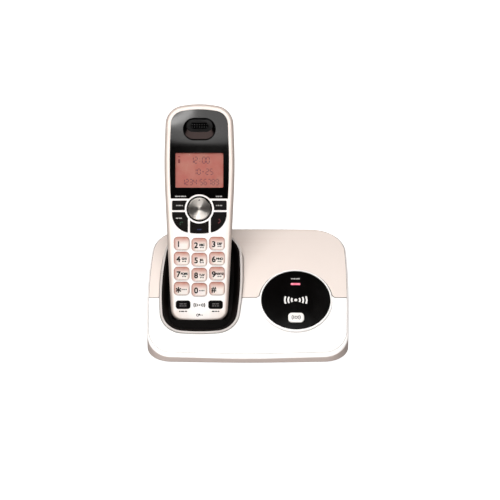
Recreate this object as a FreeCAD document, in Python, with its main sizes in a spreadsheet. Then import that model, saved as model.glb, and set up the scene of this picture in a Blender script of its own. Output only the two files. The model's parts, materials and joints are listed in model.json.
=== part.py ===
"""Cordless telephone: a handset with its own joints, leaning back in the cradle of a wedge-shaped desk base.

Row frame: millimetres, +Z up, the front of the base faces -Y, the origin is under the middle of the
whole object at the height of the table. The handset is drawn lying on its back in a frame of its own
(x across, y from its bottom end to its top end, z out of the keypad face) and HANDSET places it.
"""
import FreeCAD, Part
import math
import os

import Sketcher

from FreeCAD import Placement, Rotation, Vector

doc = FreeCAD.newDocument("cordless_phone")
sheet = doc.addObject("Spreadsheet::Sheet", "sizes")

DRIVING = {
    # whole object
    "front_edge_y": -62.65,
    # handset body
    "handset_length": 151.3, "handset_lean": 58,
    "handset_pos_x": -33.4, "handset_pos_y": 30.6, "handset_pos_z": 13.5,
    "bottom_arc": 90, "top_arc": 64, "shoulder_arc": 400, "bottom_corner": 8.5, "top_corner": 13,
    "waist_half": 19.45, "shoulder_half": 24, "shoulder_up": 108,
    "shell_wall": 1.7, "face_wall": 1.8, "part_line": 7, "part_gap": 0.2,
    "face_round": 2.6, "back_round": 6.5,
    "depth_bottom": 16.5, "depth_belly": 24.8, "belly_up": 81, "depth_top": 19,
    # display end
    "panel_inset": 3.7, "panel_low": 85.5, "panel_thick": 1.6, "panel_seat": 1.3, "fit_gap": 0.1,
    "screen_up": 105, "screen_wide": 33, "screen_high": 23.9, "screen_corner": 0.7,
    "window_low": -1.1, "window_thick": 1.2, "lcd_wide": 38, "lcd_high": 30, "lcd_thick": 2.6,
    "ear_up": 133.3, "ear_wide": 22.7, "ear_high": 15.7, "ear_depth": 3.2,
    "ear_floor_wide": 17.8, "ear_floor_high": 8.6, "ear_floor_up": 2.6,
    "ear_slot_wide": 12.5, "ear_slot_high": 4.4,
    # keys
    "nav_up": 78.4, "nav_cap_rad": 7.7, "nav_hole_rad": 8.9, "nav_ring_rad": 10, "nav_frame_rad": 8.6,
    "cluster_half": 18.7, "cluster_arc": 45, "cluster_corner": 13, "cluster_low": 60.9,
    "soft_low": 77.7, "soft_high": 84, "call_high": 76.1, "call_in": 8.0, "menu_half": 6.3,
    "key_gap": 0.15, "key_wide": 10.5, "key_high": 8.9, "key_corner": 2.6,
    "key_proud": 0.9, "key_round": 0.45,
    "key_pitch_x": 12.15, "key_pitch_y": 10.35, "key_row_up": 23.6, "key_dip": 0.8,
    "key_flange": 0.6, "key_flange_thick": 0.8, "key_foot": 2.9, "black_proud": 0.5,
    "aux_wide": 9.8, "aux_high": 5.6, "aux_up": 12.4, "aux_side": 11.2, "aux_corner": 1.8,
    # inside the handset
    "mat_top": 4.1, "mat_thick": 1.2, "mat_wide": 34.5, "mat_high": 77, "mat_up": 47.5, "mat_corner": 3,
    "board_thick": 1, "board_gap": 0.2,
    "board_wide": 35, "board_high": 111, "board_up": 64.5, "board_corner": 1.5,
    "speaker_rad": 7, "speaker_low": -9.3, "speaker_thick": 4.6,
    "mic_rad": 2.4, "mic_low": -4.6, "mic_thick": 2.4, "mic_up": 5.4,
    "ringer_rad": 8, "ringer_low": -15.6, "ringer_thick": 4.4, "ringer_up": 127.5,
    "door_low": 66.5, "door_long": 50, "door_wide": 34, "cell_rad": 5.2, "cell_long": 44,
    # base body
    "base_half": 70.2, "base_deep": 106.8,
    "side_arc": 700, "left_side_arc": 370, "front_arc": 700, "back_arc": 1800, "front_corner": 17,
    "rear_corner": 25, "left_taper": 3.2, "foot_high": 1, "floor_thick": 2.2,
    "lip_high": 5.07, "deck_slope": 26, "deck_flat": 43.2, "seam_along": 47.3, "rear_slope": 6.5,
    "deck_rear": 69, "cover_thick": 2.2, "rim_wide": 1.0, "rim_round": 1.3, "rim_ledge": 1.6,
    "front_shoulder": 2, "seam_gap": 0.5,
    # round panel
    "disc_side": 33.1, "disc_rad": 23.9, "disc_thick": 2, "disc_slope": 24,
    "disc_ring": 1.3, "disc_proud": 0.5, "disc_forward": 1.7, "seam_fillet": 3.5, "seam_up": 2,
    "find_wide": 10.8, "find_high": 7.6, "find_down": 14.4, "find_corner": 2.6, "find_proud": 0.7,
    "lamp_wide": 6.6, "lamp_high": 1.5, "lamp_up": 13.1,
    # cradle
    "rim_slope": 30, "lip_along": 20.3, "rim_proud": 0.8, "cradle_side": -32.4, "cradle_wide": 54.5,
    "cradle_long": 77, "cradle_skew": 1.9, "cradle_trim": 1.3,
    "trim_draft": 8, "dish_deep": 5, "dish_wall": 2, "pocket_gap": 0.45, "pocket_wall": 2,
}
for row, (alias, number) in enumerate(DRIVING.items(), start=1):
    sheet.set(f"A{row}", alias)
    sheet.set(f"B{row}", str(number))
    sheet.setAlias(f"B{row}", alias)
doc.recompute()


class Size:
    """A number together with the spreadsheet expression that gives it."""

    def __init__(self, value, text):
        self.value = value
        self.text = text

    def __add__(self, other):
        other = as_size(other)
        return Size(self.value + other.value, f"({self.text} + {other.text})")

    def __sub__(self, other):
        other = as_size(other)
        return Size(self.value - other.value, f"({self.text} - {other.text})")

    def __mul__(self, other):
        other = as_size(other)
        return Size(self.value * other.value, f"({self.text} * {other.text})")

    def __neg__(self):
        return Size(-self.value, f"(-1 * {self.text})")


def as_size(number):
    return number if isinstance(number, Size) else Size(float(number), repr(float(number)))


def s(alias):
    """The sheet's size of that name."""
    return Size(float(sheet.get(alias)), f"sizes.{alias}")


def v(alias):
    return s(alias).value


def bind(target, prop, size):
    """Ties a property to the sheet."""
    target.setExpression(prop, as_size(size).text)


HANDSET = Placement(
    Vector(v("handset_pos_x"), v("front_edge_y") + v("handset_pos_y"), v("handset_pos_z")),
    Rotation(Vector(1, 0, 0), v("handset_lean")),
)
ROW = Placement()
BIG = 400.0
TOUCH = 0.01  # how close an edge lies to a height to count as being on it
SMALL_ROUND = 0.4
PRESS_CLEAR = 0.25  # air round a part that moves through a hole
SNUG = 0.1  # air round a part that sits still in its hole
made = []


def keep(target, label, place=ROW):
    """Names a finished sub-part, puts it in its place and lists it for export."""
    target.Label = label
    target.Placement = place
    made.append(target)
    return target


# ---------------------------------------------------------------- sketches and features of a body


def new_body(name):
    return doc.addObject("PartDesign::Body", name)


def new_sketch(body, up=0, plane="XY_Plane", at_x=0, at_y=0):
    """A sketch on one of the body's own origin planes, moved by sizes of the sheet."""
    sketch = body.newObject("Sketcher::SketchObject", "Sketch")
    plane_object = [f for f in body.Origin.OriginFeatures if f.Role == plane][0]
    sketch.AttachmentSupport = [(plane_object, "")]
    sketch.MapMode = "FlatFace"
    for axis, size in (("x", at_x), ("y", at_y), ("z", up)):
        bind(sketch, f"AttachmentOffset.Base.{axis}", size)
    return sketch


def rounded_rectangle(sketch, wide, high, corner):
    """A fully constrained rounded rectangle about the sketch's origin."""
    wide, high, corner = as_size(wide), as_size(high), as_size(corner)
    w, h, r = wide.value / 2, high.value / 2, corner.value
    spots = [(-1, -1), (1, -1), (1, 1), (-1, 1)]
    arcs, sides = [], []
    for k, (sx, sy) in enumerate(spots):
        centre = Vector(sx * (w - r), sy * (h - r), 0)
        circle = Part.Circle(centre, Vector(0, 0, 1), r)
        start = math.pi + k * math.pi / 2
        arcs.append(sketch.addGeometry(Part.ArcOfCircle(circle, start, start + math.pi / 2), False))
    for k in range(4):
        begin = sketch.getPoint(arcs[k], 2)
        end = sketch.getPoint(arcs[(k + 1) % 4], 1)
        sides.append(sketch.addGeometry(Part.LineSegment(begin, end), False))
    for k in range(4):
        sketch.addConstraint(Sketcher.Constraint("Tangent", arcs[k], 2, sides[k], 1))
        sketch.addConstraint(Sketcher.Constraint("Tangent", sides[k], 2, arcs[(k + 1) % 4], 1))
    for k, direction in enumerate(("Horizontal", "Vertical", "Horizontal", "Vertical")):
        sketch.addConstraint(Sketcher.Constraint(direction, sides[k]))
    for k in range(1, 4):
        sketch.addConstraint(Sketcher.Constraint("Equal", arcs[0], arcs[k]))
    sketch.addConstraint(Sketcher.Constraint("Symmetric", arcs[0], 3, arcs[2], 3, -1, 1))
    named = (
        ("corner", Sketcher.Constraint("Radius", arcs[0], r), corner),
        ("wide", Sketcher.Constraint("DistanceX", sides[3], 1, sides[1], 1, 2 * w), wide),
        ("high", Sketcher.Constraint("DistanceY", sides[0], 1, sides[2], 1, 2 * h), high),
    )
    for name, constraint, size in named:
        index = sketch.addConstraint(constraint)
        sketch.renameConstraint(index, name)
        bind(sketch, f"Constraints.{name}", size)
    return sketch


def circle(sketch, radius):
    """A circle about the sketch's origin."""
    radius = as_size(radius)
    round_ = sketch.addGeometry(Part.Circle(Vector(0, 0, 0), Vector(0, 0, 1), radius.value), False)
    sketch.addConstraint(Sketcher.Constraint("Coincident", round_, 3, -1, 1))
    index = sketch.addConstraint(Sketcher.Constraint("Radius", round_, radius.value))
    sketch.renameConstraint(index, "radius")
    bind(sketch, "Constraints.radius", radius)
    return sketch


def pad(body, sketch, length, down=False):
    feature = body.newObject("PartDesign::Pad", "Pad")
    feature.Profile = sketch
    feature.Reversed = down
    bind(feature, "Length", length)
    return feature


def plate(label, wide, high, corner, low, thick, at_x=0, at_y=0, place=HANDSET):
    """A flat moulding: a rounded rectangle padded up from its lower face."""
    body = new_body(label)
    sketch = new_sketch(body, up=low, at_x=at_x, at_y=at_y)
    pad(body, rounded_rectangle(sketch, wide, high, corner), thick)
    return keep(body, label, place)


def round_plate(label, radius, low, thick, at_x=0, at_y=0, place=HANDSET):
    """A flat round piece, padded up from its lower face."""
    body = new_body(label)
    sketch = new_sketch(body, up=low, at_x=at_x, at_y=at_y)
    pad(body, circle(sketch, radius), thick)
    return keep(body, label, place)


# ---------------------------------------------------------------- outlines and plain solids


def rounded(corners):
    """A closed wire through corners (x, y, radius), counter-clockwise, each rounded with an arc."""
    edges = []
    spots = []
    for k, (x, y, radius) in enumerate(corners):
        here = Vector(x, y, 0)
        before = Vector(*corners[k - 1][:2], 0)
        after = Vector(*corners[(k + 1) % len(corners)][:2], 0)
        came = (here - before).normalize()
        goes = (after - here).normalize()
        half_turn = came.getAngle(goes) / 2
        reach = radius * math.tan(half_turn)
        inward = (goes - came).normalize()
        middle = here + inward * (radius / math.cos(half_turn) - radius)
        spots.append((here - came * reach, middle, here + goes * reach, goes))
    for k, (start, middle, end, goes) in enumerate(spots):
        edges.append(Part.Arc(start, middle, end).toShape())
        following = spots[(k + 1) % len(spots)][0]
        run = (following - end).dot(goes)
        if run < -1e-4:
            raise RuntimeError(f"the arcs at corners {k} and {k + 1} overlap by {-run:.2f}")
        if run > 1e-4:
            edges.append(Part.makeLine(end, following))
    return Part.Wire(edges)


def grown(corners, by):
    """The same corners with every side moved outwards by a distance (inwards when negative)."""
    moved = []
    for k, (x, y, radius) in enumerate(corners):
        here = Vector(x, y, 0)
        came = (here - Vector(*corners[k - 1][:2], 0)).normalize()
        goes = (Vector(*corners[(k + 1) % len(corners)][:2], 0) - here).normalize()
        out_came = Vector(came.y, -came.x, 0)
        out_goes = Vector(goes.y, -goes.x, 0)
        step = (out_came + out_goes) * (by / (1 + out_came.dot(out_goes)))
        turn_left = came.cross(goes).z > 0
        moved.append((x + step.x, y + step.y, max(radius + (by if turn_left else -by), 0.2)))
    return moved


def mirrored(half):
    """The full run of corners of a shape whose right half, from bottom to top, is given."""
    left = [(-x, y, radius) for x, y, radius in reversed(half) if x > 0]
    return half + left


def box_corners(wide, high, corner, at_x=0.0, at_y=0.0):
    w, h = wide / 2, high / 2
    spots = ((-w, -h), (w, -h), (w, h), (-w, h))
    return [(at_x + x, at_y + y, corner) for x, y in spots]


def prism(wire, low, high):
    face = Part.Face(wire)
    face.translate(Vector(0, 0, low))
    return face.extrude(Vector(0, 0, high - low))


def block(low_corner, high_corner):
    size = [b - a for a, b in zip(low_corner, high_corner)]
    return Part.makeBox(*size, Vector(*low_corner))


def post(radius, x, y, low, high):
    return Part.makeCylinder(radius, high - low, Vector(x, y, low))


def placed(shape, place):
    copy = shape.copy()
    copy.Placement = place.multiply(copy.Placement)
    return copy


def single(shape):
    """The one solid that a boolean operation left, without its wrapping and its split faces."""
    clean = shape.removeSplitter()
    solids = clean.Solids
    if len(solids) != 1:
        raise RuntimeError(f"{len(solids)} solids where one was meant")
    return solids[0]


def shaped(label, shape, place=ROW):
    """A sub-part whose shape comes from solids and booleans."""
    target = doc.addObject("Part::Feature", label)
    target.Shape = shape
    return keep(target, label, place.multiply(shape.Placement))


# ---------------------------------------------------------------- handset: body form


def handset_corners():
    """The handset seen from the front: narrow at its lower end, widest at the shoulders."""
    foot_rise = 1.6
    foot_sag = 0.4
    side_bow = 0.5
    top_in = 1.0
    top_drop = 3.9
    crown_rise = 0.75
    return mirrored([
        (0, -foot_sag, v("bottom_arc")),
        (v("waist_half"), foot_rise, v("bottom_corner")),
        (v("shoulder_half") + side_bow, v("shoulder_up"), v("shoulder_arc")),
        (v("shoulder_half") - top_in, v("handset_length") - top_drop, v("top_corner")),
        (0, v("handset_length") + crown_rise, v("top_arc")),
    ])


def handset_form(grow=0.0, face=None):
    """The handset's outer form, grown or shrunk all round; face is the height of its front plane."""
    front = grow if face is None else face
    length = v("handset_length")
    back = [(0, v("depth_bottom")), (v("belly_up"), v("depth_belly")), (length, v("depth_top"))]
    low, belly, high = [Vector(-BIG / 8, y, -depth - grow) for y, depth in back]
    run_out = 12.0
    low_rise, high_rise = 1.9, 2.0
    curve = Part.Arc(low, belly, high).toShape()
    past_low = low + Vector(0, -run_out, low_rise)
    past_high = high + Vector(0, run_out, high_rise)
    corners = [past_low, low, high, past_high, Vector(-BIG / 8, past_high.y, front),
               Vector(-BIG / 8, past_low.y, front)]
    sides = [Part.makeLine(corners[k], corners[(k + 1) % 6]) for k in (2, 3, 4, 5)]
    profile = Part.Wire(Part.__sortEdges__([curve, Part.makeLine(past_low, low)] + sides))
    slab = Part.Face(profile).extrude(Vector(BIG / 4, 0, 0))
    column = prism(rounded(grown(handset_corners(), grow)), -BIG / 8, BIG / 8)
    form = single(column.common(slab))
    back_edges = [e for e in form.Edges if e.BoundBox.ZMax < -v("depth_bottom") + 3 - grow]
    form = form.makeFillet(v("back_round") + grow, back_edges)
    if face is None:
        front_edges = [e for e in form.Edges if e.BoundBox.ZMin > front - TOUCH]
        form = form.makeFillet(v("face_round") + grow, front_edges)
    return form


def as_one(form):
    return form.Solids[0]


outer_form = as_one(handset_form())
inner_form = as_one(handset_form(-v("shell_wall"), -v("face_wall")))
nav_column = post(v("nav_ring_rad"), 0, v("nav_up"), -BIG / 8, BIG / 8)
FACE_THROUGH = (-v("face_wall") - 1, 4.0)


# ---------------------------------------------------------------- handset: key shapes


def panel_face(shrink=0.0):
    """The black display panel seen from the front: it follows the handset and stops at the ring."""
    follow = prism(rounded(grown(handset_corners(), -v("panel_inset") - shrink)), 0, 1)
    above = block((-BIG, v("panel_low") + shrink, 0), (BIG, BIG, 1))
    ring = post(v("nav_ring_rad") + shrink, 0, v("nav_up"), -1, 2)
    return follow.common(above).cut(ring)


def cluster_region():
    """The field of black keys round the navigation disc: straight sides and a bowl-shaped lower end."""
    half, low = v("cluster_half"), v("cluster_low")
    top, corner_rise = v("soft_high"), 3.2
    return prism(rounded(mirrored([
        (0, low, v("cluster_arc")),
        (half, low + corner_rise, v("cluster_corner")),
        (half, top, 0.6),
    ])), 0, 1)


def black_key_face(low, high, inner, outer):
    """The part of the key field between two heights and two distances from the middle."""
    part = cluster_region().common(block((inner, low, 0), (outer, high, 1)))
    part = part.cut(post(v("nav_ring_rad") + PRESS_CLEAR, 0, v("nav_up"), -1, 2))
    return single(part)


def flat_top(solid):
    """The upper flat face of a one-thick slab."""
    return max(solid.Faces, key=lambda face: face.CenterOfMass.z)


def slab_of(face, low, high):
    flat = face.copy()
    flat.translate(Vector(0, 0, low - face.CenterOfMass.z))
    return flat.extrude(Vector(0, 0, high - low))


def black_faces():
    """The five keys round the navigation disc, each as a one-thick slab seen from the front."""
    half, menu, inner = v("cluster_half") + 1, v("menu_half"), v("call_in")
    soft = (v("soft_low"), v("soft_high"))
    call = (0, v("call_high"))
    return {
        "soft_key_left": black_key_face(*soft, -half, 0),
        "soft_key_right": black_key_face(*soft, 0, half),
        "talk_key": black_key_face(*call, -half, -inner),
        "end_key": black_key_face(*call, inner, half),
        "menu_key": black_key_face(*call, -menu, menu),
    }


def black_key(face):
    """A black key: a cap with rounded corners, standing on a wider foot behind the housing."""
    top = flat_top(face)
    cap = slab_of(top, -v("key_foot"), v("black_proud"))
    upright = [e for e in cap.Edges if e.BoundBox.ZLength > 1]
    cap = cap.makeFillet(SMALL_ROUND, upright)
    wide = top.makeOffset2D(v("key_flange"), 0)
    foot = slab_of(wide, -v("key_foot"), -v("key_foot") + v("key_flange_thick"))
    return single(cap.fuse(foot))


def key_hole(face):
    wide = flat_top(face).makeOffset2D(v("key_gap"), 0)
    return slab_of(wide, *FACE_THROUGH)


# ---------------------------------------------------------------- handset: digit keys


DIGITS = [
    ["key_1", "key_2", "key_3"],
    ["key_4", "key_5", "key_6"],
    ["key_7", "key_8", "key_9"],
    ["key_star", "key_0", "key_hash"],
]


def digit_places():
    """Every digit key's name and middle; the middle column stands a little lower."""
    places = {}
    for row, names in enumerate(DIGITS):
        for column, name in enumerate(names):
            x = s("key_pitch_x") * (column - 1)
            y = s("key_row_up") + s("key_pitch_y") * (3 - row)
            places[name] = (x, y - s("key_dip") if column == 1 else y)
    return places


def soften(body, base, radius, test):
    """A fillet on the edges of the last feature that pass the test."""
    doc.recompute()
    names = [f"Edge{k + 1}" for k, edge in enumerate(base.Shape.Edges) if test(edge)]
    feature = body.newObject("PartDesign::Fillet", "Fillet")
    feature.Base = (base, names)
    feature.Radius = radius
    return feature


def push_key(label, wide, high, corner, proud, at):
    """A key cap on a wider foot, which keeps it behind the housing."""
    x, y = at
    body = new_body(label)
    foot = new_sketch(body, up=-s("key_foot"), at_x=x, at_y=y)
    grow = s("key_flange") * 2
    pad(body, rounded_rectangle(foot, wide + grow, high + grow, corner + s("key_flange")),
        s("key_flange_thick"))
    cap = new_sketch(body, up=-s("key_foot"), at_x=x, at_y=y)
    column = pad(body, rounded_rectangle(cap, wide, high, corner), s("key_foot") + proud)
    top = proud.value
    soften(body, column, v("key_round"), lambda edge: edge.BoundBox.ZMin > top - TOUCH)
    return keep(body, label, HANDSET)


for name, at in digit_places().items():
    push_key(name, s("key_wide"), s("key_high"), s("key_corner"), s("key_proud"), at)

AUX_KEYS = {"aux_key_left": -s("aux_side"), "aux_key_right": s("aux_side")}
for name, x in AUX_KEYS.items():
    push_key(name, s("aux_wide"), s("aux_high"), s("aux_corner"), s("black_proud"), (x, s("aux_up")))

black_slabs = black_faces()
for name, face in black_slabs.items():
    shaped(name, black_key(face), HANDSET)


# ---------------------------------------------------------------- handset: navigation disc


def navigation_cap():
    """A shallow dished metal disc on a short stem; it rocks up and down."""
    radius = v("nav_cap_rad")
    top, under, edge_round = 0.9, -1.9, 0.5
    disc = Part.makeCylinder(radius, top - under, Vector(0, 0, under))
    disc = disc.makeFillet(edge_round, [e for e in disc.Edges if e.BoundBox.ZMin > top - TOUCH])
    dish_radius = 60.0
    hollow = Part.makeSphere(dish_radius, Vector(0, 0, top - 0.35 + dish_radius))
    stem = Part.makeCylinder(1.6, 1.3, Vector(0, 0, under - 1.2))
    cap = single(disc.cut(hollow).fuse(stem))
    cap.translate(Vector(0, v("nav_up"), 0))
    return cap


def navigation_frame():
    """The dark ring round the disc; it rocks left and right and carries the disc."""
    outer, inner = v("nav_frame_rad"), v("nav_cap_rad") + 0.3
    ring = post(outer, 0, 0, -3.1, -0.2).cut(post(inner, 0, 0, -2.6, 1))
    frame = single(ring.cut(post(1.9, 0, 0, -4, 1)))
    frame.translate(Vector(0, v("nav_up"), 0))
    return frame


shaped("nav_disc", navigation_cap(), HANDSET)
shaped("nav_frame", navigation_frame(), HANDSET)


# ---------------------------------------------------------------- handset: display end


def ear_outline(wide, high, up, lift):
    wire = rounded(box_corners(wide, high, high / 2 - 0.05, 0, v("ear_up") + up))
    wire.translate(Vector(0, 0, lift))
    return wire


def ear_well():
    """The hollow in front of the earpiece: steep at the top, a slanting ledge below."""
    proud = v("panel_thick") - v("panel_seat")
    mouth = ear_outline(v("ear_wide"), v("ear_high"), 0, proud + 0.05)
    floor = ear_outline(v("ear_floor_wide"), v("ear_floor_high"), v("ear_floor_up"), -v("ear_depth"))
    return Part.makeLoft([mouth, floor], True, True)


def ear_boss(grow=0.0):
    """The back of the earpiece well, which stands through the housing."""
    outline = rounded(box_corners(v("ear_wide") + 2 * grow, v("ear_high") + 2 * grow,
                                  v("ear_high") / 2 + grow - 0.05, 0, v("ear_up")))
    return prism(outline, -v("ear_depth") - 1.2, -v("panel_seat") + 0.2)


def screen_hole(shrink=0.0):
    outline = rounded(box_corners(v("screen_wide") - 2 * shrink, v("screen_high") - 2 * shrink, 0.8,
                                  0, v("screen_up")))
    return prism(outline, *FACE_THROUGH)


EAR_THROUGH = (-8, 0)


def ear_slot(shrink=0.0):
    """The opening at the bottom of the ear well, with round ends."""
    wide, high = v("ear_slot_wide") - 2 * shrink, v("ear_slot_high") - 2 * shrink
    return rounded(box_corners(wide, high, high / 2 - 0.1, 0, v("ear_up") + v("ear_floor_up")))


def display_panel():
    proud = v("panel_thick") - v("panel_seat")
    sheet_face = flat_top(single(panel_face(v("fit_gap"))))
    panel = slab_of(sheet_face, -v("panel_seat"), proud)
    panel = panel.cut(screen_hole()).fuse(ear_boss())
    return single(panel.cut(ear_well()).cut(prism(ear_slot(), *EAR_THROUGH)))


def grille_plate():
    """The perforated plate behind the ear slot."""
    up = v("ear_up") + v("ear_floor_up")
    top, thick = -v("ear_depth") - 0.4, 0.5
    plate_shape = prism(ear_slot(v("fit_gap")), top - thick, top)
    hole, pitch = 0.45, 1.7
    for column in range(-3, 4):
        for row in (-0.5, 0.5):
            plate_shape = plate_shape.cut(post(hole, column * pitch, up + row * pitch, *EAR_THROUGH))
    return single(plate_shape)


shaped("display_panel", display_panel(), HANDSET)
shaped("earpiece_grille", grille_plate(), HANDSET)
plate("display_window", s("screen_wide") - s("fit_gap") * 2, s("screen_high") - s("fit_gap") * 2,
      s("screen_corner"), s("window_low"), s("window_thick"), at_y=s("screen_up"))
plate("display_module", s("lcd_wide"), s("lcd_high"), s("screen_corner"),
      -s("face_wall") - s("fit_gap") - s("lcd_thick"), s("lcd_thick"), at_y=s("screen_up"))


# ---------------------------------------------------------------- handset: housings and insides


SCREW_SPOTS = [(-17, 124), (17, 124), (-14, 5), (14, 5)]
MIC_HOLE = {"radius": 0.6, "up": 5.6}
SOUND_SLOTS = {"count": 5, "wide": 14, "high": 1.2, "corner": 0.5, "pitch": 2.8, "up": 122, "depth": -13}
SCREW_HEAD, SCREW_SHANK = 2.1, 0.95
BOSS_RADIUS, BOSS_HOLE, BOSS_END = 2.5, 1.0, -9.0
CONTACT_WIDE, CONTACT_DEEP, CONTACT_SIDE, CONTACT_BACK, CONTACT_FACE = 4.5, 2.2, 8.0, 8.8, 0.5


def contact_box(side, grow=0.0):
    """One of the two charging plates set in the handset's bottom end."""
    x, z = side * CONTACT_SIDE, -CONTACT_BACK
    half, deep = CONTACT_WIDE / 2 + grow, CONTACT_DEEP / 2 + grow
    return block((x - half, CONTACT_FACE - 20 * grow, z - deep), (x + half, 2.2 + grow, z + deep))


def front_housing():
    parting = -v("part_line") + v("part_gap") / 2
    shell = outer_form.common(block((-BIG, -BIG, parting), (BIG, BIG, BIG)))
    shell = shell.cut(inner_form)
    for x, y in SCREW_SPOTS:
        pillar = post(BOSS_RADIUS, x, y, BOSS_END, -v("face_wall") + 0.3)
        pillar = pillar.common(inner_form)
        shell = shell.fuse(pillar).cut(post(BOSS_HOLE, x, y, BOSS_END - 1, -v("face_wall") - 1.2))
    seat = slab_of(flat_top(single(panel_face())), -v("panel_seat"), 3)
    shell = shell.cut(seat).cut(screen_hole()).cut(ear_boss(v("fit_gap")))
    shell = shell.cut(post(v("nav_hole_rad"), 0, v("nav_up"), *FACE_THROUGH))
    gap = 2 * v("key_gap")
    for x, y in digit_places().values():
        outline = box_corners(v("key_wide") + gap, v("key_high") + gap, v("key_corner"), x.value, y.value)
        shell = shell.cut(prism(rounded(outline), *FACE_THROUGH))
    for x in AUX_KEYS.values():
        outline = box_corners(v("aux_wide") + gap, v("aux_high") + gap, v("aux_corner"), x.value, v("aux_up"))
        shell = shell.cut(prism(rounded(outline), *FACE_THROUGH))
    for face in black_slabs.values():
        shell = shell.cut(key_hole(face))
    shell = shell.cut(post(MIC_HOLE["radius"], 0, MIC_HOLE["up"], *FACE_THROUGH))
    return single(shell)


def door_column(grow=0.0):
    outline = box_corners(v("door_wide") + 2 * grow, v("door_long") + 2 * grow, 2.5 + grow, 0,
                          v("door_low") + v("door_long") / 2)
    return prism(rounded(outline), -BIG / 8, -14)


def back_housing():
    parting = -v("part_line") - v("part_gap") / 2
    shell = outer_form.common(block((-BIG, -BIG, -BIG), (BIG, BIG, parting))).cut(inner_form)
    for x, y in SCREW_SPOTS:
        sleeve = post(BOSS_RADIUS, x, y, -BIG / 16, BOSS_END - 0.2).common(outer_form)
        shell = shell.fuse(sleeve)
        shell = shell.cut(post(SCREW_HEAD + 0.1, x, y, -BIG / 8, BOSS_END - 2.2))
        shell = shell.cut(post(SCREW_SHANK + 0.15, x, y, -BIG / 8, 0))
    shell = shell.cut(door_column(PRESS_CLEAR))
    for side in (-1, 1):
        shell = shell.cut(contact_box(side, SNUG))
    for k in range(SOUND_SLOTS["count"]):
        up = SOUND_SLOTS["up"] + k * SOUND_SLOTS["pitch"]
        slot = box_corners(SOUND_SLOTS["wide"], SOUND_SLOTS["high"], SOUND_SLOTS["corner"], 0, up)
        shell = shell.cut(prism(rounded(slot), -BIG / 8, SOUND_SLOTS["depth"]))
    return single(shell)


def battery_door():
    """The door is a piece of the back's own curved wall."""
    return single(outer_form.cut(inner_form).common(door_column()))


def battery_pack():
    """Three cells side by side in a shrink wrap."""
    low, long, radius = v("door_low") + 3, v("cell_long"), v("cell_rad")
    height, spacing = -15.4, 1.96
    cells = [Part.makeCylinder(radius, long, Vector(x * radius * spacing, low, height), Vector(0, 1, 0))
             for x in (-1, 0, 1)]
    return single(cells[0].fuse(cells[1]).fuse(cells[2]))


def handset_screws():
    screws = []
    for x, y in SCREW_SPOTS:
        head = post(SCREW_HEAD, x, y, BOSS_END - 3.6, BOSS_END - 2.2)
        shank = post(SCREW_SHANK, x, y, BOSS_END - 2.4, -4.2)
        screws.append(single(head.fuse(shank)))
    return Part.makeCompound(screws)


shaped("handset_front_housing", front_housing(), HANDSET)
shaped("handset_back_housing", back_housing(), HANDSET)
shaped("battery_door", battery_door(), HANDSET)
shaped("battery_pack", battery_pack(), HANDSET)
shaped("handset_screws", handset_screws(), HANDSET)
shaped("handset_charge_contacts", Part.makeCompound([contact_box(-1), contact_box(1)]), HANDSET)
mat_low = -s("mat_top") - s("mat_thick")
plate("keypad_mat", s("mat_wide"), s("mat_high"), s("mat_corner"), mat_low, s("mat_thick"), at_y=s("mat_up"))
plate("handset_circuit_board", s("board_wide"), s("board_high"), s("board_corner"),
      mat_low - s("board_gap") - s("board_thick"), s("board_thick"), at_y=s("board_up"))
round_plate("earpiece_speaker", s("speaker_rad"), s("speaker_low"), s("speaker_thick"), at_y=s("ear_up") + 1)
round_plate("microphone", s("mic_rad"), s("mic_low"), s("mic_thick"), at_y=s("mic_up"))
round_plate("loudspeaker", s("ringer_rad"), s("ringer_low"), s("ringer_thick"), at_y=s("ringer_up"))


# ---------------------------------------------------------------- base: outline and deck surface


FRONT = v("front_edge_y")
FLOOR_TOP = v("foot_high") + v("floor_thick")


def base_corners():
    """The base from above: bowed sides, the left one drawn in to the rear, and gently curved ends."""
    half, deep = v("base_half"), v("base_deep")
    front_side, front_rise = half - 2, 1.8
    rear_side, rear_drop = half - 1.4, 1.2
    return [
        (0, FRONT, v("front_arc")),
        (front_side, FRONT + front_rise, v("front_corner")),
        (half, FRONT + 0.5 * deep, v("side_arc")),
        (rear_side, FRONT + deep - rear_drop, v("rear_corner")),
        (0, FRONT + deep, v("back_arc")),
        (-rear_side + v("left_taper"), FRONT + deep - rear_drop, v("rear_corner")),
        (-half, FRONT + 0.5 * deep, v("left_side_arc")),
        (-front_side, FRONT + front_rise, v("front_corner")),
    ]


def base_column(grow=0.0, low=-BIG / 4, high=BIG / 4):
    return prism(rounded(grown(base_corners(), grow)), low, high)


def deck_column(inset):
    """The field of the white deck: set back all round, and further at the front's wide shoulder."""
    corners = grown(base_corners(), -inset)
    for k in (0, 1, len(corners) - 1):
        x, y, radius = corners[k]
        corners[k] = (x, y + v("front_shoulder"), radius)
    return prism(rounded(corners), -BIG / 4, BIG / 4)


def slope_vectors(degrees):
    """The directions along and straight down into a slope that rises to the rear."""
    angle = math.radians(degrees)
    return Vector(0, math.cos(angle), math.sin(angle)), Vector(0, math.sin(angle), -math.cos(angle))


along_deck, into_deck = slope_vectors(v("deck_slope"))
LIP_TOP = Vector(0, FRONT, v("lip_high"))
SEAM = LIP_TOP + along_deck * v("seam_along")
BEND = LIP_TOP + along_deck * v("deck_flat")
REAR_RADIUS = v("deck_rear") / math.radians(v("deck_slope") - v("rear_slope"))
REAR_CENTRE = BEND + into_deck * REAR_RADIUS


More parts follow.
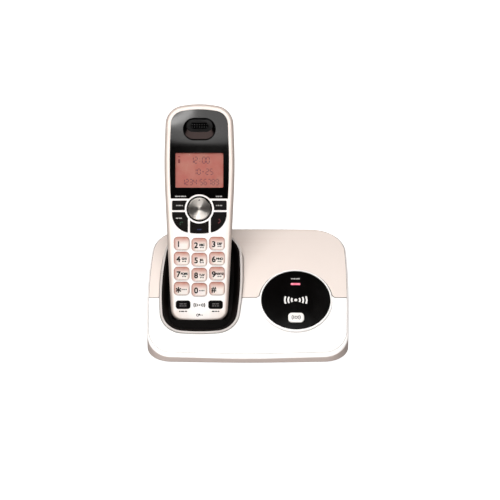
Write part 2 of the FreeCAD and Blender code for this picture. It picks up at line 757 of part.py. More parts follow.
def under_deck(drop=0.0):
    """All that lies below the deck, lowered by a distance: flat at the front, then one long bend."""
    run_out = 12.0
    past_rear = v("rear_slope") - 3
    bend = BEND + into_deck * drop
    front_end = bend - along_deck * (v("deck_flat") + run_out)
    middle, rear_end = [REAR_CENTRE - slope_vectors(degrees)[1] * (REAR_RADIUS - drop)
                        for degrees in ((v("deck_slope") + past_rear) / 2, past_rear)]
    below = -BIG / 8
    straight = [rear_end, Vector(0, rear_end.y, below), Vector(0, front_end.y, below), front_end, bend]
    edges = [Part.Arc(bend, middle, rear_end).toShape()]
    edges += [Part.makeLine(a, b) for a, b in zip(straight, straight[1:])]
    face = Part.Face(Part.Wire(edges))
    face.translate(Vector(-BIG / 4, 0, 0))
    return face.extrude(Vector(BIG / 2, 0, 0))


# ---------------------------------------------------------------- base: cradle and panel frames


def tilted(point, degrees):
    """A frame at a point whose own z stands straight out of a slope that rises to the rear."""
    return Placement(point, Rotation(Vector(1, 0, 0), degrees))


PANEL = tilted(SEAM + Vector(v("disc_side"), 0, 0) - along_deck * v("disc_forward")
               - into_deck * v("disc_proud"), v("disc_slope"))
CRADLE = tilted(LIP_TOP + Vector(v("cradle_side"), 0, 0) + along_deck * v("lip_along")
                - into_deck * v("rim_proud"), v("rim_slope"))


def cradle_corners():
    """The cradle's rim seen square on: an egg that leans a little to the right towards its rear."""
    half, long = v("cradle_wide") / 2, v("cradle_long")
    front_side, widest, rear_side, rear_left_side = half - 2.7, half + 0.6, half - 2.0, half - 3.4
    upright = [
        (0, -0.2, 120),
        (front_side, 1.7, 15),
        (widest, 0.47 * long, 200),
        (rear_side, long - 3.2, 17),
        (0, long + 0.6, 45),
        (-rear_left_side, long - 4.4, 17),
        (-widest, 0.47 * long, 170),
        (-front_side, 1.7, 15),
    ]
    return [(x + v("cradle_skew") * (y / long - 0.5), y, radius) for x, y, radius in upright]


def cradle_column(grow=0.0, low=-BIG / 8, high=BIG / 8):
    return placed(prism(rounded(grown(cradle_corners(), grow)), low, high), CRADLE)


def skirt(grow=0.0):
    """The tapering skirt that carries the cradle's rim up from the deck."""
    tall, overlap = 26.0, 2.0
    spread = math.tan(math.radians(v("trim_draft")))
    top = rounded(grown(cradle_corners(), v("cradle_trim") + grow - overlap * spread))
    bottom = rounded(grown(cradle_corners(), v("cradle_trim") + grow + tall * spread))
    top.translate(Vector(0, 0, overlap))
    bottom.translate(Vector(0, 0, -tall))
    return placed(Part.makeLoft([top, bottom], True, True), CRADLE)


# ---------------------------------------------------------------- base: covers


def seam_region(grow=0.0):
    """What belongs to the front cover: all in front of the seam, and the ring round the panel."""
    radius = v("disc_rad") + v("disc_ring") + grow
    seam = v("seam_up") + grow
    fillet = v("seam_fillet") - grow
    tall, overlap = BIG / 8, 5.0
    front = block((-BIG / 2, -BIG / 2, -tall), (BIG / 2, seam, tall))
    region = front.fuse(post(radius, 0, 0, -tall, tall))
    centre_x = math.sqrt((radius + fillet) ** 2 - (seam + fillet) ** 2)
    for side in (-1, 1):
        spots = [Vector(0, seam - overlap, -tall), Vector(side * centre_x, seam - overlap, -tall),
                 Vector(side * centre_x, seam + fillet, -tall), Vector(0, 0, -tall)]
        wedge = Part.Face(Part.makePolygon(spots + spots[:1])).extrude(Vector(0, 0, 2 * tall))
        region = region.fuse(wedge.cut(post(fillet, side * centre_x, seam + fillet, -tall, tall)))
    return placed(region.removeSplitter(), PANEL)


COVER_INSET = v("rim_wide") + 0.25
PANEL_LEDGE = 3.0
RING_TOP, RING_UNDER, RING_ROUND = 0.3, -4.5, 0.7
BOSS_SPOTS = {"front": [(5, 14), (60, 22)], "rear": [(60, 80), (0, 87)]}
COVER_BOSS, COVER_SCREW = 3.2, 1.35


def cover_plate():
    """The whole deck skin inside the tub's rim, before it is divided."""
    return deck_column(COVER_INSET).common(under_deck()).cut(under_deck(v("cover_thick")))


def cover_bosses(which):
    """Posts under a cover for the screws that come up through the floor."""
    posts = []
    for x, deep in BOSS_SPOTS[which]:
        body = post(COVER_BOSS, x, FRONT + deep, FLOOR_TOP + 0.1, BIG / 8)
        body = body.common(under_deck(v("cover_thick") - 0.4))
        posts.append(body.cut(post(COVER_SCREW, x, FRONT + deep, 0, FLOOR_TOP + 6)))
    return posts


def with_all(solid, others):
    for other in others:
        solid = solid.fuse(other)
    return solid


def front_cover():
    plate_shape = cover_plate().common(seam_region())
    ring = post(v("disc_rad") + v("disc_ring"), 0, 0, RING_UNDER, RING_TOP)
    rim = [e for e in ring.Edges if e.BoundBox.ZMin > RING_TOP - TOUCH]
    ring = ring.makeFillet(RING_ROUND, rim)
    whole = with_all(plate_shape.fuse(placed(ring, PANEL)), cover_bosses("front"))
    well = post(v("disc_rad") + v("fit_gap"), 0, 0, -v("disc_thick") - 0.1, 9)
    back = post(v("disc_rad") - PANEL_LEDGE, 0, 0, -9, 9)
    whole = whole.cut(placed(well, PANEL)).cut(placed(back, PANEL))
    return single(whole.cut(skirt(0.15)))


def rear_cover():
    plate_shape = cover_plate().cut(seam_region(v("seam_gap")))
    whole = with_all(plate_shape, cover_bosses("rear"))
    return single(whole.cut(skirt(0.15)))


shaped("base_front_cover", front_cover())
shaped("base_rear_cover", rear_cover())


# ---------------------------------------------------------------- base: tub, feet and screws


LINE_JACK = {"x": 19.0, "up": 11.5, "wide": 13.0, "high": 11.0, "deep": 15.0}
POWER_JACK = {"x": 37.0, "up": 11.0, "wide": 9.0, "high": 11.0, "deep": 13.5}
VENTS = {"count": 7, "wide": 1.6, "long": 18, "corner": 0.7, "pitch": 4.0, "x": 24, "deep": 50}
SCREW_WELL = {"radius": 3.0, "deep": 1.2, "hole": 1.5}
REAR_FACE = FRONT + v("base_deep") - 0.9
FOOT_SPOTS = [(side * 55, deep) for side in (-1, 1) for deep in (13, 90)]
FOOT_RADIUS, FOOT_SEAT = 4.5, 0.6


def jack_block(jack, grow=0.0):
    half = jack["wide"] / 2 + grow
    low, high = jack["up"] - jack["high"] / 2 - grow, jack["up"] + jack["high"] / 2 + grow
    front = REAR_FACE - jack["deep"] - grow
    return block((jack["x"] - half, front, low), (jack["x"] + half, REAR_FACE + 8 * grow, high))


def on_shoulder(edge):
    """True for the edges where the walls meet the deck, but not for the lines that cross the deck."""
    box = edge.BoundBox
    crosses_deck = box.YLength < TOUCH and box.XLength > v("base_half")
    upright = max(box.XLength, box.YLength) < TOUCH
    return box.ZMin > v("foot_high") + 1 and not crosses_deck and not upright


def tub():
    """The lower housing: floor, walls, rounded shoulder and the ledge the covers rest on."""
    outer = single(base_column(0, v("foot_high"), BIG / 4).common(under_deck()))
    outer = outer.makeFillet(v("rim_round"), [e for e in outer.Edges if on_shoulder(e)])
    bottom = [e for e in outer.Edges if e.BoundBox.ZMax < v("foot_high") + TOUCH]
    outer = outer.makeFillet(1.0, bottom)
    seat = deck_column(v("rim_wide")).cut(under_deck(v("cover_thick") + 0.05))
    above_floor = block((-BIG / 2, -BIG / 2, FLOOR_TOP), (BIG / 2, BIG / 2, BIG / 4))
    room = deck_column(v("rim_wide") + v("rim_ledge")).common(above_floor)
    shell = outer.cut(seat).cut(room)
    for jack in (LINE_JACK, POWER_JACK):
        shell = shell.cut(jack_block(jack, 0.12))
    for x, deep in FOOT_SPOTS:
        shell = shell.cut(post(FOOT_RADIUS + SNUG, x, FRONT + deep, 0, v("foot_high") + FOOT_SEAT))
    for spots in BOSS_SPOTS.values():
        for x, deep in spots:
            well_top = v("foot_high") + SCREW_WELL["deep"]
            shell = shell.cut(post(SCREW_WELL["radius"], x, FRONT + deep, 0, well_top))
            shell = shell.cut(post(SCREW_WELL["hole"], x, FRONT + deep, 0, FLOOR_TOP + 1))
    for k in range(VENTS["count"]):
        x = VENTS["x"] + k * VENTS["pitch"]
        slot = box_corners(VENTS["wide"], VENTS["long"], VENTS["corner"], x, FRONT + VENTS["deep"])
        shell = shell.cut(prism(rounded(slot), 0, FLOOR_TOP + 1))
    return single(shell)


def base_screws():
    screws = []
    for spots in BOSS_SPOTS.values():
        for x, deep in spots:
            y = FRONT + deep
            head = post(2.6, x, y, v("foot_high") - 0.3, v("foot_high") + 1.15)
            screws.append(single(head.fuse(post(1.25, x, y, v("foot_high") + 1, FLOOR_TOP + 5))))
    return Part.makeCompound(screws)


def rubber_feet():
    feet = []
    for k, (x, deep) in enumerate(FOOT_SPOTS):
        foot = doc.addObject("Part::Cylinder", f"foot_{k + 1}")
        foot.Radius = FOOT_RADIUS
        bind(foot, "Height", s("foot_high") + (FOOT_SEAT - 0.05))
        foot.Placement = Placement(Vector(x, FRONT + deep, 0), Rotation())
        feet.append(foot)
    group = doc.addObject("Part::Compound", "rubber_feet")
    group.Links = feet
    return keep(group, "rubber_feet")


shaped("base_lower_housing", tub())
shaped("base_screws", base_screws())
rubber_feet()


# ---------------------------------------------------------------- base: cradle


def dish():
    """The sloping bowl of the cradle, cut from its rim down to its flat floor."""
    rim, deep = 1.3, v("dish_deep")
    mouth = rounded(grown(cradle_corners(), -rim))
    floor = rounded(grown(cradle_corners(), -rim - 3.2))
    floor.translate(Vector(0, 0, -deep))
    mouth_cut = prism(rounded(grown(cradle_corners(), -rim)), 0, BIG / 16)
    return placed(Part.makeLoft([mouth, floor], True, True).fuse(mouth_cut), CRADLE)


PIN_RADIUS, PIN_GAP, PIN_LONG = 1.0, 0.15, 4.0
COLLAR_STEP, COLLAR_LONG = 0.5, 0.8


def pin(side, radius, low, high):
    """A round bar along the handset's length, in line with one of its charging plates."""
    foot = Vector(side * CONTACT_SIDE, low, -CONTACT_BACK)
    bar = Part.makeCylinder(radius, high - low, foot, Vector(0, 1, 0))
    return placed(bar, HANDSET)


def handset_room():
    """The space the handset needs when it stands in the cradle."""
    return placed(as_one(handset_form(v("pocket_gap"))), HANDSET)


def cradle_insert():
    """The black cradle: a rim slab with a bowl in it, and a close pocket for the handset's end."""
    slab = cradle_column(-v("fit_gap"), -v("dish_deep") - v("dish_wall"), 0)
    outer_pocket = as_one(handset_form(v("pocket_gap") + v("pocket_wall")))
    pocket = placed(outer_pocket, HANDSET).common(cradle_column(-v("fit_gap"), -BIG / 8, -v("dish_deep")))
    body = slab.fuse(pocket).cut(dish())
    front_room = placed(block((-v("waist_half") - 0.7, 2, -4), (v("waist_half") + 0.7, 90, 60)), HANDSET)
    body = body.cut(handset_room()).cut(front_room.common(cradle_column(-6)))
    for side in (-1, 1):
        body = body.cut(pin(side, PIN_RADIUS + PRESS_CLEAR, -8, 3))
    return single(body)


def cradle_ring():
    """The pale trim round the cradle, down to the underside of the deck, clear of the handset's back."""
    ring = skirt().common(cradle_column(20, -BIG / 8, 0.25)).cut(cradle_column(0))
    ring = ring.cut(under_deck(v("cover_thick"))).common(deck_column(COVER_INSET + 0.5))
    return single(ring.cut(handset_room()))


shaped("cradle_insert", cradle_insert())
shaped("cradle_ring", cradle_ring())


def base_contact(side):
    """A sprung charging pin with a collar that stops it behind the pocket wall."""
    tip = pin(side, PIN_RADIUS, -PIN_LONG, CONTACT_FACE - PIN_GAP)
    collar = pin(side, PIN_RADIUS + COLLAR_STEP, -PIN_LONG, -PIN_LONG + COLLAR_LONG)
    return single(tip.fuse(collar))


shaped("base_contact_left", base_contact(-1))
shaped("base_contact_right", base_contact(1))


# ---------------------------------------------------------------- base: round panel


def find_outline(grow=0.0):
    return rounded(box_corners(v("find_wide") + 2 * grow, v("find_high") + 2 * grow, v("find_corner") + grow,
                               0, -v("find_down")))


def lamp_outline(grow=0.0):
    return rounded(box_corners(v("lamp_wide") + 2 * grow, v("lamp_high") + 2 * grow, 0.5 + grow,
                               0, v("lamp_up")))


def round_panel():
    disc = post(v("disc_rad"), 0, 0, -v("disc_thick"), 0)
    disc = disc.makeFillet(0.5, [e for e in disc.Edges if e.BoundBox.ZMin > -TOUCH])
    disc = disc.cut(prism(find_outline(v("key_gap")), -4, 2))
    return single(disc.cut(prism(lamp_outline(0.08), -4, 2)))


def find_button():
    foot, foot_thick, top = -3.4, 0.9, v("find_proud")
    cap = prism(find_outline(), foot, top)
    cap = cap.makeFillet(SMALL_ROUND, [e for e in cap.Edges if e.BoundBox.ZMin > top - TOUCH])
    return single(cap.fuse(prism(find_outline(v("key_flange")), foot, foot + foot_thick)))


shaped("round_panel", round_panel(), PANEL)
shaped("find_button", find_button(), PANEL)
shaped("indicator_lens", prism(lamp_outline(), -v("disc_thick") - 1, 0.15), PANEL)


# ---------------------------------------------------------------- base: sockets and electronics


def line_jack():
    """A six-position telephone socket: square mouth with a notch for the plug's latch."""
    body = jack_block(LINE_JACK)
    x, up = LINE_JACK["x"], LINE_JACK["up"]
    mouth = block((x - 4.85, REAR_FACE - 12, up - 3.4), (x + 4.85, REAR_FACE + 1, up + 3.2))
    latch = block((x - 3.0, REAR_FACE - 6, up - 4.6), (x + 3.0, REAR_FACE + 1, up - 3.3))
    return single(body.cut(mouth).cut(latch))


def power_jack():
    """A barrel socket with its centre pin."""
    barrel, pin_radius, depth = 3.1, 1.0, 9.5
    x, up = POWER_JACK["x"], POWER_JACK["up"]
    bore = Part.makeCylinder(barrel, depth + 1, Vector(x, REAR_FACE - depth, up), Vector(0, 1, 0))
    pin_foot = Vector(x, REAR_FACE - depth - 0.5, up)
    centre = Part.makeCylinder(pin_radius, depth - 1.0, pin_foot, Vector(0, 1, 0))
    return single(jack_block(POWER_JACK).cut(bore).fuse(centre))


BOARD = {"left": 8, "right": 56, "front": 27, "rear": 88, "gap": 1.5, "thick": 1.2}
BOARD_TOP = FLOOR_TOP + BOARD["gap"] + BOARD["thick"]
BOARD_LEGS = [(14, 32), (14, 80), (50, 32), (50, 74)]


def base_board():
    board = block((BOARD["left"], FRONT + BOARD["front"], FLOOR_TOP + BOARD["gap"]),
                  (BOARD["right"], FRONT + BOARD["rear"], BOARD_TOP))
    legs = [post(1.5, x, FRONT + deep, FLOOR_TOP, FLOOR_TOP + BOARD["gap"] + 0.1) for x, deep in BOARD_LEGS]
    return single(with_all(board, legs))


def radio_shield():
    """A folded can over the radio on the base's board."""
    left, front, wide, deep, high, sheet_thick = 14, FRONT + 52, 18, 20, 3.2, 0.4
    can = block((left, front, BOARD_TOP), (left + wide, front + deep, BOARD_TOP + high))
    room = block((left + sheet_thick, front + sheet_thick, BOARD_TOP - 1),
                 (left + wide - sheet_thick, front + deep - sheet_thick, BOARD_TOP + high - sheet_thick))
    return single(can.cut(room))


def find_switch():
    """The switch under the find button, on its own small board held below the round panel."""
    board_low, board_high, switch_high = -8.2, -7.2, -4.8
    board = prism(rounded(box_corners(30, 20, 2, 0, -8)), board_low, board_high)
    switch = prism(rounded(box_corners(6, 6, 0.6, 0, -v("find_down"))), board_high, switch_high)
    return single(board.fuse(switch))


shaped("line_jack", line_jack())
shaped("power_jack", power_jack())
shaped("base_circuit_board", base_board())
shaped("radio_shield", radio_shield())
shaped("panel_switch_board", find_switch(), PANEL)


# ---------------------------------------------------------------- checks and export


def check_document():
    doc.recompute()
    for item in doc.Objects:
        wrong = [state for state in item.State if state in ("Invalid", "Error")]
        if wrong:
            raise RuntimeError(f"{item.Label}: {wrong}")
    for item in made:
        if item.Shape.isNull() or not item.Shape.isValid():
            raise RuntimeError(f"{item.Label}: no valid shape")


def export_parts():
    os.makedirs("parts", exist_ok=True)
    for item in made:
        item.Shape.exportStep(f"parts/{item.Label}.step")
    print(f"{len(made)} sub-parts written")


check_document()
export_parts()
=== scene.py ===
"""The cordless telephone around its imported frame: materials, printed marks, finer key tops, light and camera.

Every piece is in metres in the frame's own axes. Pieces on the handset are drawn in the handset's own
axes (x across, y towards its top end, z out of the keypad face) and placed with HANDSET.
"""

import json
import math

import bmesh
import bpy
from mathutils import Matrix, Vector

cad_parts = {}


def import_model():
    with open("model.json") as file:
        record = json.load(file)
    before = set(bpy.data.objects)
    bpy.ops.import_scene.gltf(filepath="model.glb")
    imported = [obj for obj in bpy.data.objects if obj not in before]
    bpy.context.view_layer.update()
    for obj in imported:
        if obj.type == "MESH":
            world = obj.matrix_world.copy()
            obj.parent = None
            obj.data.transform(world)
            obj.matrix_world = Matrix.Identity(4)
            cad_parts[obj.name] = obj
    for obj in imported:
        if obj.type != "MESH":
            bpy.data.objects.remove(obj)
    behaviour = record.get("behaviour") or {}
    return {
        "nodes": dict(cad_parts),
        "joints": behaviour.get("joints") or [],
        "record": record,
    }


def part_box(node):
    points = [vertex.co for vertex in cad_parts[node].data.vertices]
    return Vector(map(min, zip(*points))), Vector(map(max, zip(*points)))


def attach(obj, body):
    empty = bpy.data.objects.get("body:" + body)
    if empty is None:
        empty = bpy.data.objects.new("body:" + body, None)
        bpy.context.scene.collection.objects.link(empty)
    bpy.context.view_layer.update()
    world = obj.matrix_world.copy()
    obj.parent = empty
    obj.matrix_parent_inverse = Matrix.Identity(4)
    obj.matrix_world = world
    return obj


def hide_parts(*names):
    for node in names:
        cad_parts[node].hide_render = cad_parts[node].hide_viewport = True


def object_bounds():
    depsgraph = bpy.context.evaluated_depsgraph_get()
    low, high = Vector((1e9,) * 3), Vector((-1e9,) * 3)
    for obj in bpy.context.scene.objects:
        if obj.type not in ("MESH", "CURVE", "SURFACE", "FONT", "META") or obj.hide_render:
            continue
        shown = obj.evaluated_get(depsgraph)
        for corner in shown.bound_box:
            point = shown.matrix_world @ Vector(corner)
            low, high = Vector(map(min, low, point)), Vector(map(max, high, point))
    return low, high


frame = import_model()
cad_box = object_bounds()

MM = 0.001
scene = bpy.context.scene
joints = {joint["name"]: joint for joint in frame["joints"]}


# ------------------------------------------------------------------ places taken from the frame


def tilt_frame(origin, degrees):
    """Axes at a point, leaned about X."""
    return Matrix.Translation(origin) @ Matrix.Rotation(math.radians(degrees), 4, "X")


NAV_PIVOT = Vector((0, 78.4, -3.0)) * MM  # the navigation hinge in the handset's own axes


def handset_frame():
    """The handset's own axes: its lift joint gives the lean, the navigation hinge a known point."""
    along = Vector(joints["handset_lift"]["axis"])
    lean = math.degrees(math.atan2(along.z, along.y))
    pivot = Vector(joints["nav_rock_up_down"]["pos_m"])
    turn = tilt_frame(Vector(), lean)
    return tilt_frame(pivot - turn @ NAV_PIVOT, lean)


def panel_frame():
    """The round panel's own axes, at the middle of its top face."""
    inward = Vector(joints["find_button_press"]["axis"])
    turn = tilt_frame(Vector(), math.degrees(math.atan2(inward.y, -inward.z)))
    panel = frame["nodes"]["round_panel"]
    spots = [turn.inverted() @ panel.matrix_world @ vertex.co for vertex in panel.data.vertices]
    xs, ys, zs = zip(*spots)
    top_middle = Vector(((min(xs) + max(xs)) / 2, (min(ys) + max(ys)) / 2, max(zs)))
    return Matrix.Translation(turn @ top_middle) @ turn


HANDSET = handset_frame()
PANEL = panel_frame()


# ------------------------------------------------------------------ material building blocks


def new_material(name):
    """A node material and its Principled shader."""
    material = bpy.data.materials.new(name)
    material.use_nodes = True
    shader = material.node_tree.nodes["Principled BSDF"]
    return material, material.node_tree, shader


def noise(tree, scale, detail=3.0, roughness=0.5, stretch=(1, 1, 1)):
    """A noise field in object coordinates; scale is in cells per metre."""
    where = tree.nodes.new("ShaderNodeTexCoord")
    mapping = tree.nodes.new("ShaderNodeMapping")
    mapping.inputs["Scale"].default_value = stretch
    field = tree.nodes.new("ShaderNodeTexNoise")
    field.inputs["Scale"].default_value = scale
    field.inputs["Detail"].default_value = detail
    field.inputs["Roughness"].default_value = roughness
    tree.links.new(where.outputs["Object"], mapping.inputs["Vector"])
    tree.links.new(mapping.outputs["Vector"], field.inputs["Vector"])
    return field.outputs["Fac"]


def remap(tree, value, low, high, start=0.3, end=0.7):
    """The value's middle range spread over low to high."""
    node = tree.nodes.new("ShaderNodeMapRange")
    for key, number in (("From Min", start), ("From Max", end), ("To Min", low), ("To Max", high)):
        node.inputs[key].default_value = number
    tree.links.new(value, node.inputs["Value"])
    return node.outputs["Result"]


def blend_colors(tree, factor, first, second):
    """A mix of two colours; each is a tuple or another node's output."""
    node = tree.nodes.new("ShaderNodeMix")
    node.data_type = "RGBA"
    for socket, color in ((6, first), (7, second)):
        if isinstance(color, tuple):
            node.inputs[socket].default_value = (*color, 1.0)
        else:
            tree.links.new(color, node.inputs[socket])
    tree.links.new(factor, node.inputs[0])
    return node.outputs[2]


def bump(tree, shader, height, strength, distance):
    """Fine relief that shows only in the shading, its depth in metres."""
    node = tree.nodes.new("ShaderNodeBump")
    node.inputs["Strength"].default_value = strength
    node.inputs["Distance"].default_value = distance
    tree.links.new(height, node.inputs["Height"])
    tree.links.new(node.outputs["Normal"], shader.inputs["Normal"])


def rub_mask(tree):
    """Where convex edges get rubbed: the surface's own pointiness."""
    flat, edge = 0.5, 0.62
    geometry = tree.nodes.new("ShaderNodeNewGeometry")
    return remap(tree, geometry.outputs["Pointiness"], 0.0, 1.0, flat, edge)


def math_node(tree, operation, *values):
    """A maths node; each value is a number or another node's output."""
    node = tree.nodes.new("ShaderNodeMath")
    node.operation = operation
    for socket, value in enumerate(values):
        if isinstance(value, (int, float)):
            node.inputs[socket].default_value = value
        else:
            tree.links.new(value, node.inputs[socket])
    return node.outputs[0]


def facing(tree, node, direction, start, end):
    """1 where a node's surface looks along a direction of the whole frame, 0 where it looks well aside."""
    where = tree.nodes.new("ShaderNodeTexCoord")
    along = tree.nodes.new("ShaderNodeVectorMath")
    along.operation = "DOT_PRODUCT"
    along.inputs[1].default_value = frame["nodes"][node].matrix_world.to_3x3().inverted() @ direction
    tree.links.new(where.outputs["Normal"], along.inputs[0])
    return remap(tree, along.outputs["Value"], 0.0, 1.0, start, end)


def painted_gap_shade(tree, color, reach):
    """The colour with painted shade: darker where two parts meet and in narrow gaps."""
    hidden, deepest, open_tone = 0.30, 0.25, 0.85
    open_sky = tree.nodes.new("ShaderNodeAmbientOcclusion")
    open_sky.samples = 8
    open_sky.inputs["Distance"].default_value = reach
    light = remap(tree, open_sky.outputs["AO"], hidden, 1.0, deepest, open_tone)
    shade = tree.nodes.new("ShaderNodeMix")
    shade.data_type = "RGBA"
    shade.blend_type = "MULTIPLY"
    shade.inputs[0].default_value = 1.0
    tree.links.new(color, shade.inputs[6])
    tree.links.new(light, shade.inputs[7])
    return shade.outputs[2]


NARROW = 1.2 * MM  # reach of the painted shade in gaps between neighbouring parts
RAISED = 5 * MM  # the same beside raised keys and along the handset's rim
POCKET = 12 * MM  # the same in the room round the handset in its cradle

# grain of moulded surfaces: cells per metre and depth in metres
SHELL_GRAIN = (2600, 0.00002)
POLISHED_GRAIN = (2600, 0.00001)


def moulded_plastic(name, color, tone, rough, grain, edge_tone=None, crevices=None, side=None,
                    coat=0.0, specular=0.5):
    """Moulded plastic: faint drift of tone, uneven sheen, spark-eroded grain and rubbed edges.

    crevices is how far the painted shade in gaps reaches; side is a second tone, painted shade, for surfaces
    that turn away from a direction.
    """
    material, tree, shader = new_material(name)
    drift = remap(tree, noise(tree, 22, 2.0), 0, 1)
    base = blend_colors(tree, drift, color, tone)
    if edge_tone is not None:
        base = blend_colors(tree, rub_mask(tree), base, edge_tone)
    if side is not None:
        square_on = facing(tree, side["node"], side["towards"], *side["turn"])
        base = blend_colors(tree, square_on, side["tone"], base)
    if crevices is not None:
        base = painted_gap_shade(tree, base, reach=crevices)
    tree.links.new(base, shader.inputs["Base Color"])
    sheen_field = noise(tree, 140, 4.0, 0.6)
    tree.links.new(remap(tree, sheen_field, rough * 0.88, rough * 1.14), shader.inputs["Roughness"])
    grain_scale, grain_depth = grain
    bump(tree, shader, noise(tree, grain_scale, 2.0), 0.35, grain_depth)
    shader.inputs["Coat Weight"].default_value = coat
    shader.inputs["Coat Roughness"].default_value = 0.08
    shader.inputs["Specular IOR Level"].default_value = specular
    return material


# The base's white, darker and warmer than on the front cover: painted shade on the rear deck, which turns more
# from the light.
def white_shell():
    return moulded_plastic("white_shell", (0.74, 0.63, 0.57), (0.725, 0.615, 0.555), 0.42, SHELL_GRAIN,
                           edge_tone=(0.80, 0.71, 0.66), crevices=NARROW)


def front_cover_white():
    return moulded_plastic("front_cover_white", (0.97, 0.955, 0.945), (0.96, 0.94, 0.93), 0.40, SHELL_GRAIN,
                           edge_tone=(0.98, 0.97, 0.96), crevices=NARROW)


# The keypad face's walls that turn away from the face get a darker side tone, painted shade; gaps beside raised
# keys and along the rim get painted shade too.
def face_white():
    return moulded_plastic("face_white", (0.83, 0.73, 0.67), (0.815, 0.715, 0.655), 0.40, SHELL_GRAIN,
                           edge_tone=(0.97, 0.94, 0.925), crevices=RAISED,
                           side={"node": "handset_front_housing", "tone": (0.52, 0.44, 0.40),
                                 "towards": HANDSET.to_3x3() @ Vector((0, 0, 1)), "turn": (0.88, 0.975)})


def lower_housing_white():
    """White where the rim carries on the deck, a darker pearl tone on the upright skirt below it: painted shade
    where the skirt turns from the light.
    """
    return moulded_plastic("lower_housing_white", (0.97, 0.94, 0.925), (0.96, 0.925, 0.91), 0.40, SHELL_GRAIN,
                           edge_tone=(0.97, 0.94, 0.925), crevices=NARROW,
                           side={"node": "base_lower_housing", "tone": (0.64, 0.54, 0.50),
                                 "towards": Vector((0, 0, 1)), "turn": (0.16, 0.34)})


def pearl_shell():
    return moulded_plastic("pearl_shell", (0.86, 0.715, 0.665), (0.84, 0.695, 0.645), 0.40, SHELL_GRAIN,
                           edge_tone=(0.90, 0.78, 0.73), crevices=NARROW)


# Painted shade in gaps reaches far here: the handset's back is darkened where it sits in the cradle's pocket.
def handset_pearl():
    return moulded_plastic("handset_pearl", (0.46, 0.375, 0.335), (0.43, 0.35, 0.315), 0.36, SHELL_GRAIN,
                           edge_tone=(0.56, 0.48, 0.44), crevices=POCKET)


def trim_silver():
    return moulded_plastic("trim_silver", (0.40, 0.37, 0.35), (0.385, 0.355, 0.335), 0.30, POLISHED_GRAIN,
                           edge_tone=(0.58, 0.54, 0.52), crevices=NARROW)


def gloss_black(name="gloss_black"):
    """Polished black: faint smears in the gloss and hairline scratches."""
    material, tree, shader = new_material(name)
    drift = remap(tree, noise(tree, 30, 2.0), 0, 1)
    tree.links.new(blend_colors(tree, drift, (0.0008, 0.0006, 0.0006), (0.0014, 0.0011, 0.0011)),
                   shader.inputs["Base Color"])
    smear = noise(tree, 60, 5.0, 0.6, (1, 0.25, 1))
    tree.links.new(remap(tree, smear, 0.08, 0.14), shader.inputs["Roughness"])
    bump(tree, shader, noise(tree, 500, 3.0, 0.5, (1, 0.08, 1)), 0.05, 0.00001)
    shader.inputs["Specular IOR Level"].default_value = 0.5
    return material


# the curve of the display panel above the screen, in metres: where it starts along the handset, how it bends
# along and across, and the height under which a point belongs to the earpiece well
CROWN = {"start": 0.121, "along": 4.4, "across": -5000.0, "top_face": -0.0003}


def crowned_black():
    """The display panel's polish: it seems to curve gently round the earpiece, above the screen.

    The curve is only in the shading. The well's lower wall, which faces up the handset, gets a lighter tone, a
    painted reflection of the light from above.
    """
    material = gloss_black("crowned_black")
    tree = material.node_tree
    shader = tree.nodes["Principled BSDF"]
    where = tree.nodes.new("ShaderNodeTexCoord")
    to_handset = HANDSET.inverted() @ frame["nodes"]["display_panel"].matrix_world
    turned = tree.nodes.new("ShaderNodeMapping")
    turned.inputs["Location"].default_value = to_handset.translation
    turned.inputs["Rotation"].default_value = to_handset.to_euler()
    tree.links.new(where.outputs["Object"], turned.inputs["Vector"])
    split = tree.nodes.new("ShaderNodeSeparateXYZ")
    tree.links.new(turned.outputs["Vector"], split.inputs["Vector"])
    ledge = facing(tree, "display_panel", HANDSET.to_3x3() @ Vector((0, 1, 0)), 0.30, 0.42)
    sunk = math_node(tree, "LESS_THAN", split.outputs["Z"], CROWN["top_face"])
    ledge_reflection = math_node(tree, "MULTIPLY", ledge, sunk)
    # Painted reflection: the well's lower wall, facing up the handset, is lighter.
    tree.links.new(blend_colors(tree, ledge_reflection, (0.001, 0.0008, 0.0008), (0.052, 0.038, 0.036)),
                   shader.inputs["Base Color"])
    from_start = math_node(tree, "SUBTRACT", split.outputs["Y"], CROWN["start"])
    above = math_node(tree, "MAXIMUM", from_start, 0.0)
    above_squared = math_node(tree, "MULTIPLY", above, above)
    across_squared = math_node(tree, "MULTIPLY", split.outputs["X"], split.outputs["X"])
    bend = math_node(tree, "MULTIPLY_ADD", across_squared, -CROWN["across"], -CROWN["along"])
    on_top = math_node(tree, "GREATER_THAN", split.outputs["Z"], CROWN["top_face"])
    curve = math_node(tree, "MULTIPLY", bend, above_squared)
    height = math_node(tree, "MULTIPLY", curve, on_top)
    bump(tree, shader, height, 1.0, 1.0)
    return material


def satin_black():
    return moulded_plastic("satin_black", (0.0012, 0.0009, 0.0008), (0.0018, 0.0013, 0.0011), 0.5,
                           (3000, 0.00003), edge_tone=(0.008, 0.0055, 0.005), specular=0.08)


def black_key():
    return moulded_plastic("black_key", (0.0012, 0.0010, 0.0010), (0.0018, 0.0014, 0.0014), 0.30,
                           (3500, 0.00001), edge_tone=(0.007, 0.0055, 0.005), specular=0.2)


def silicone_rubber():
    return moulded_plastic("silicone_rubber", (0.05, 0.048, 0.047), (0.07, 0.066, 0.064), 0.75,
                           (1500, 0.00004))


def speaker_frame():
    return moulded_plastic("speaker_frame", (0.03, 0.03, 0.03), (0.04, 0.04, 0.04), 0.5, (2500, 0.00002))


def battery_wrap():
    return moulded_plastic("battery_wrap", (0.03, 0.07, 0.22), (0.04, 0.09, 0.26), 0.3, (900, 0.00003))


def white_button():
    return moulded_plastic("white_button", (0.90, 0.87, 0.84), (0.87, 0.84, 0.81), 0.25, POLISHED_GRAIN,
                           coat=0.3)


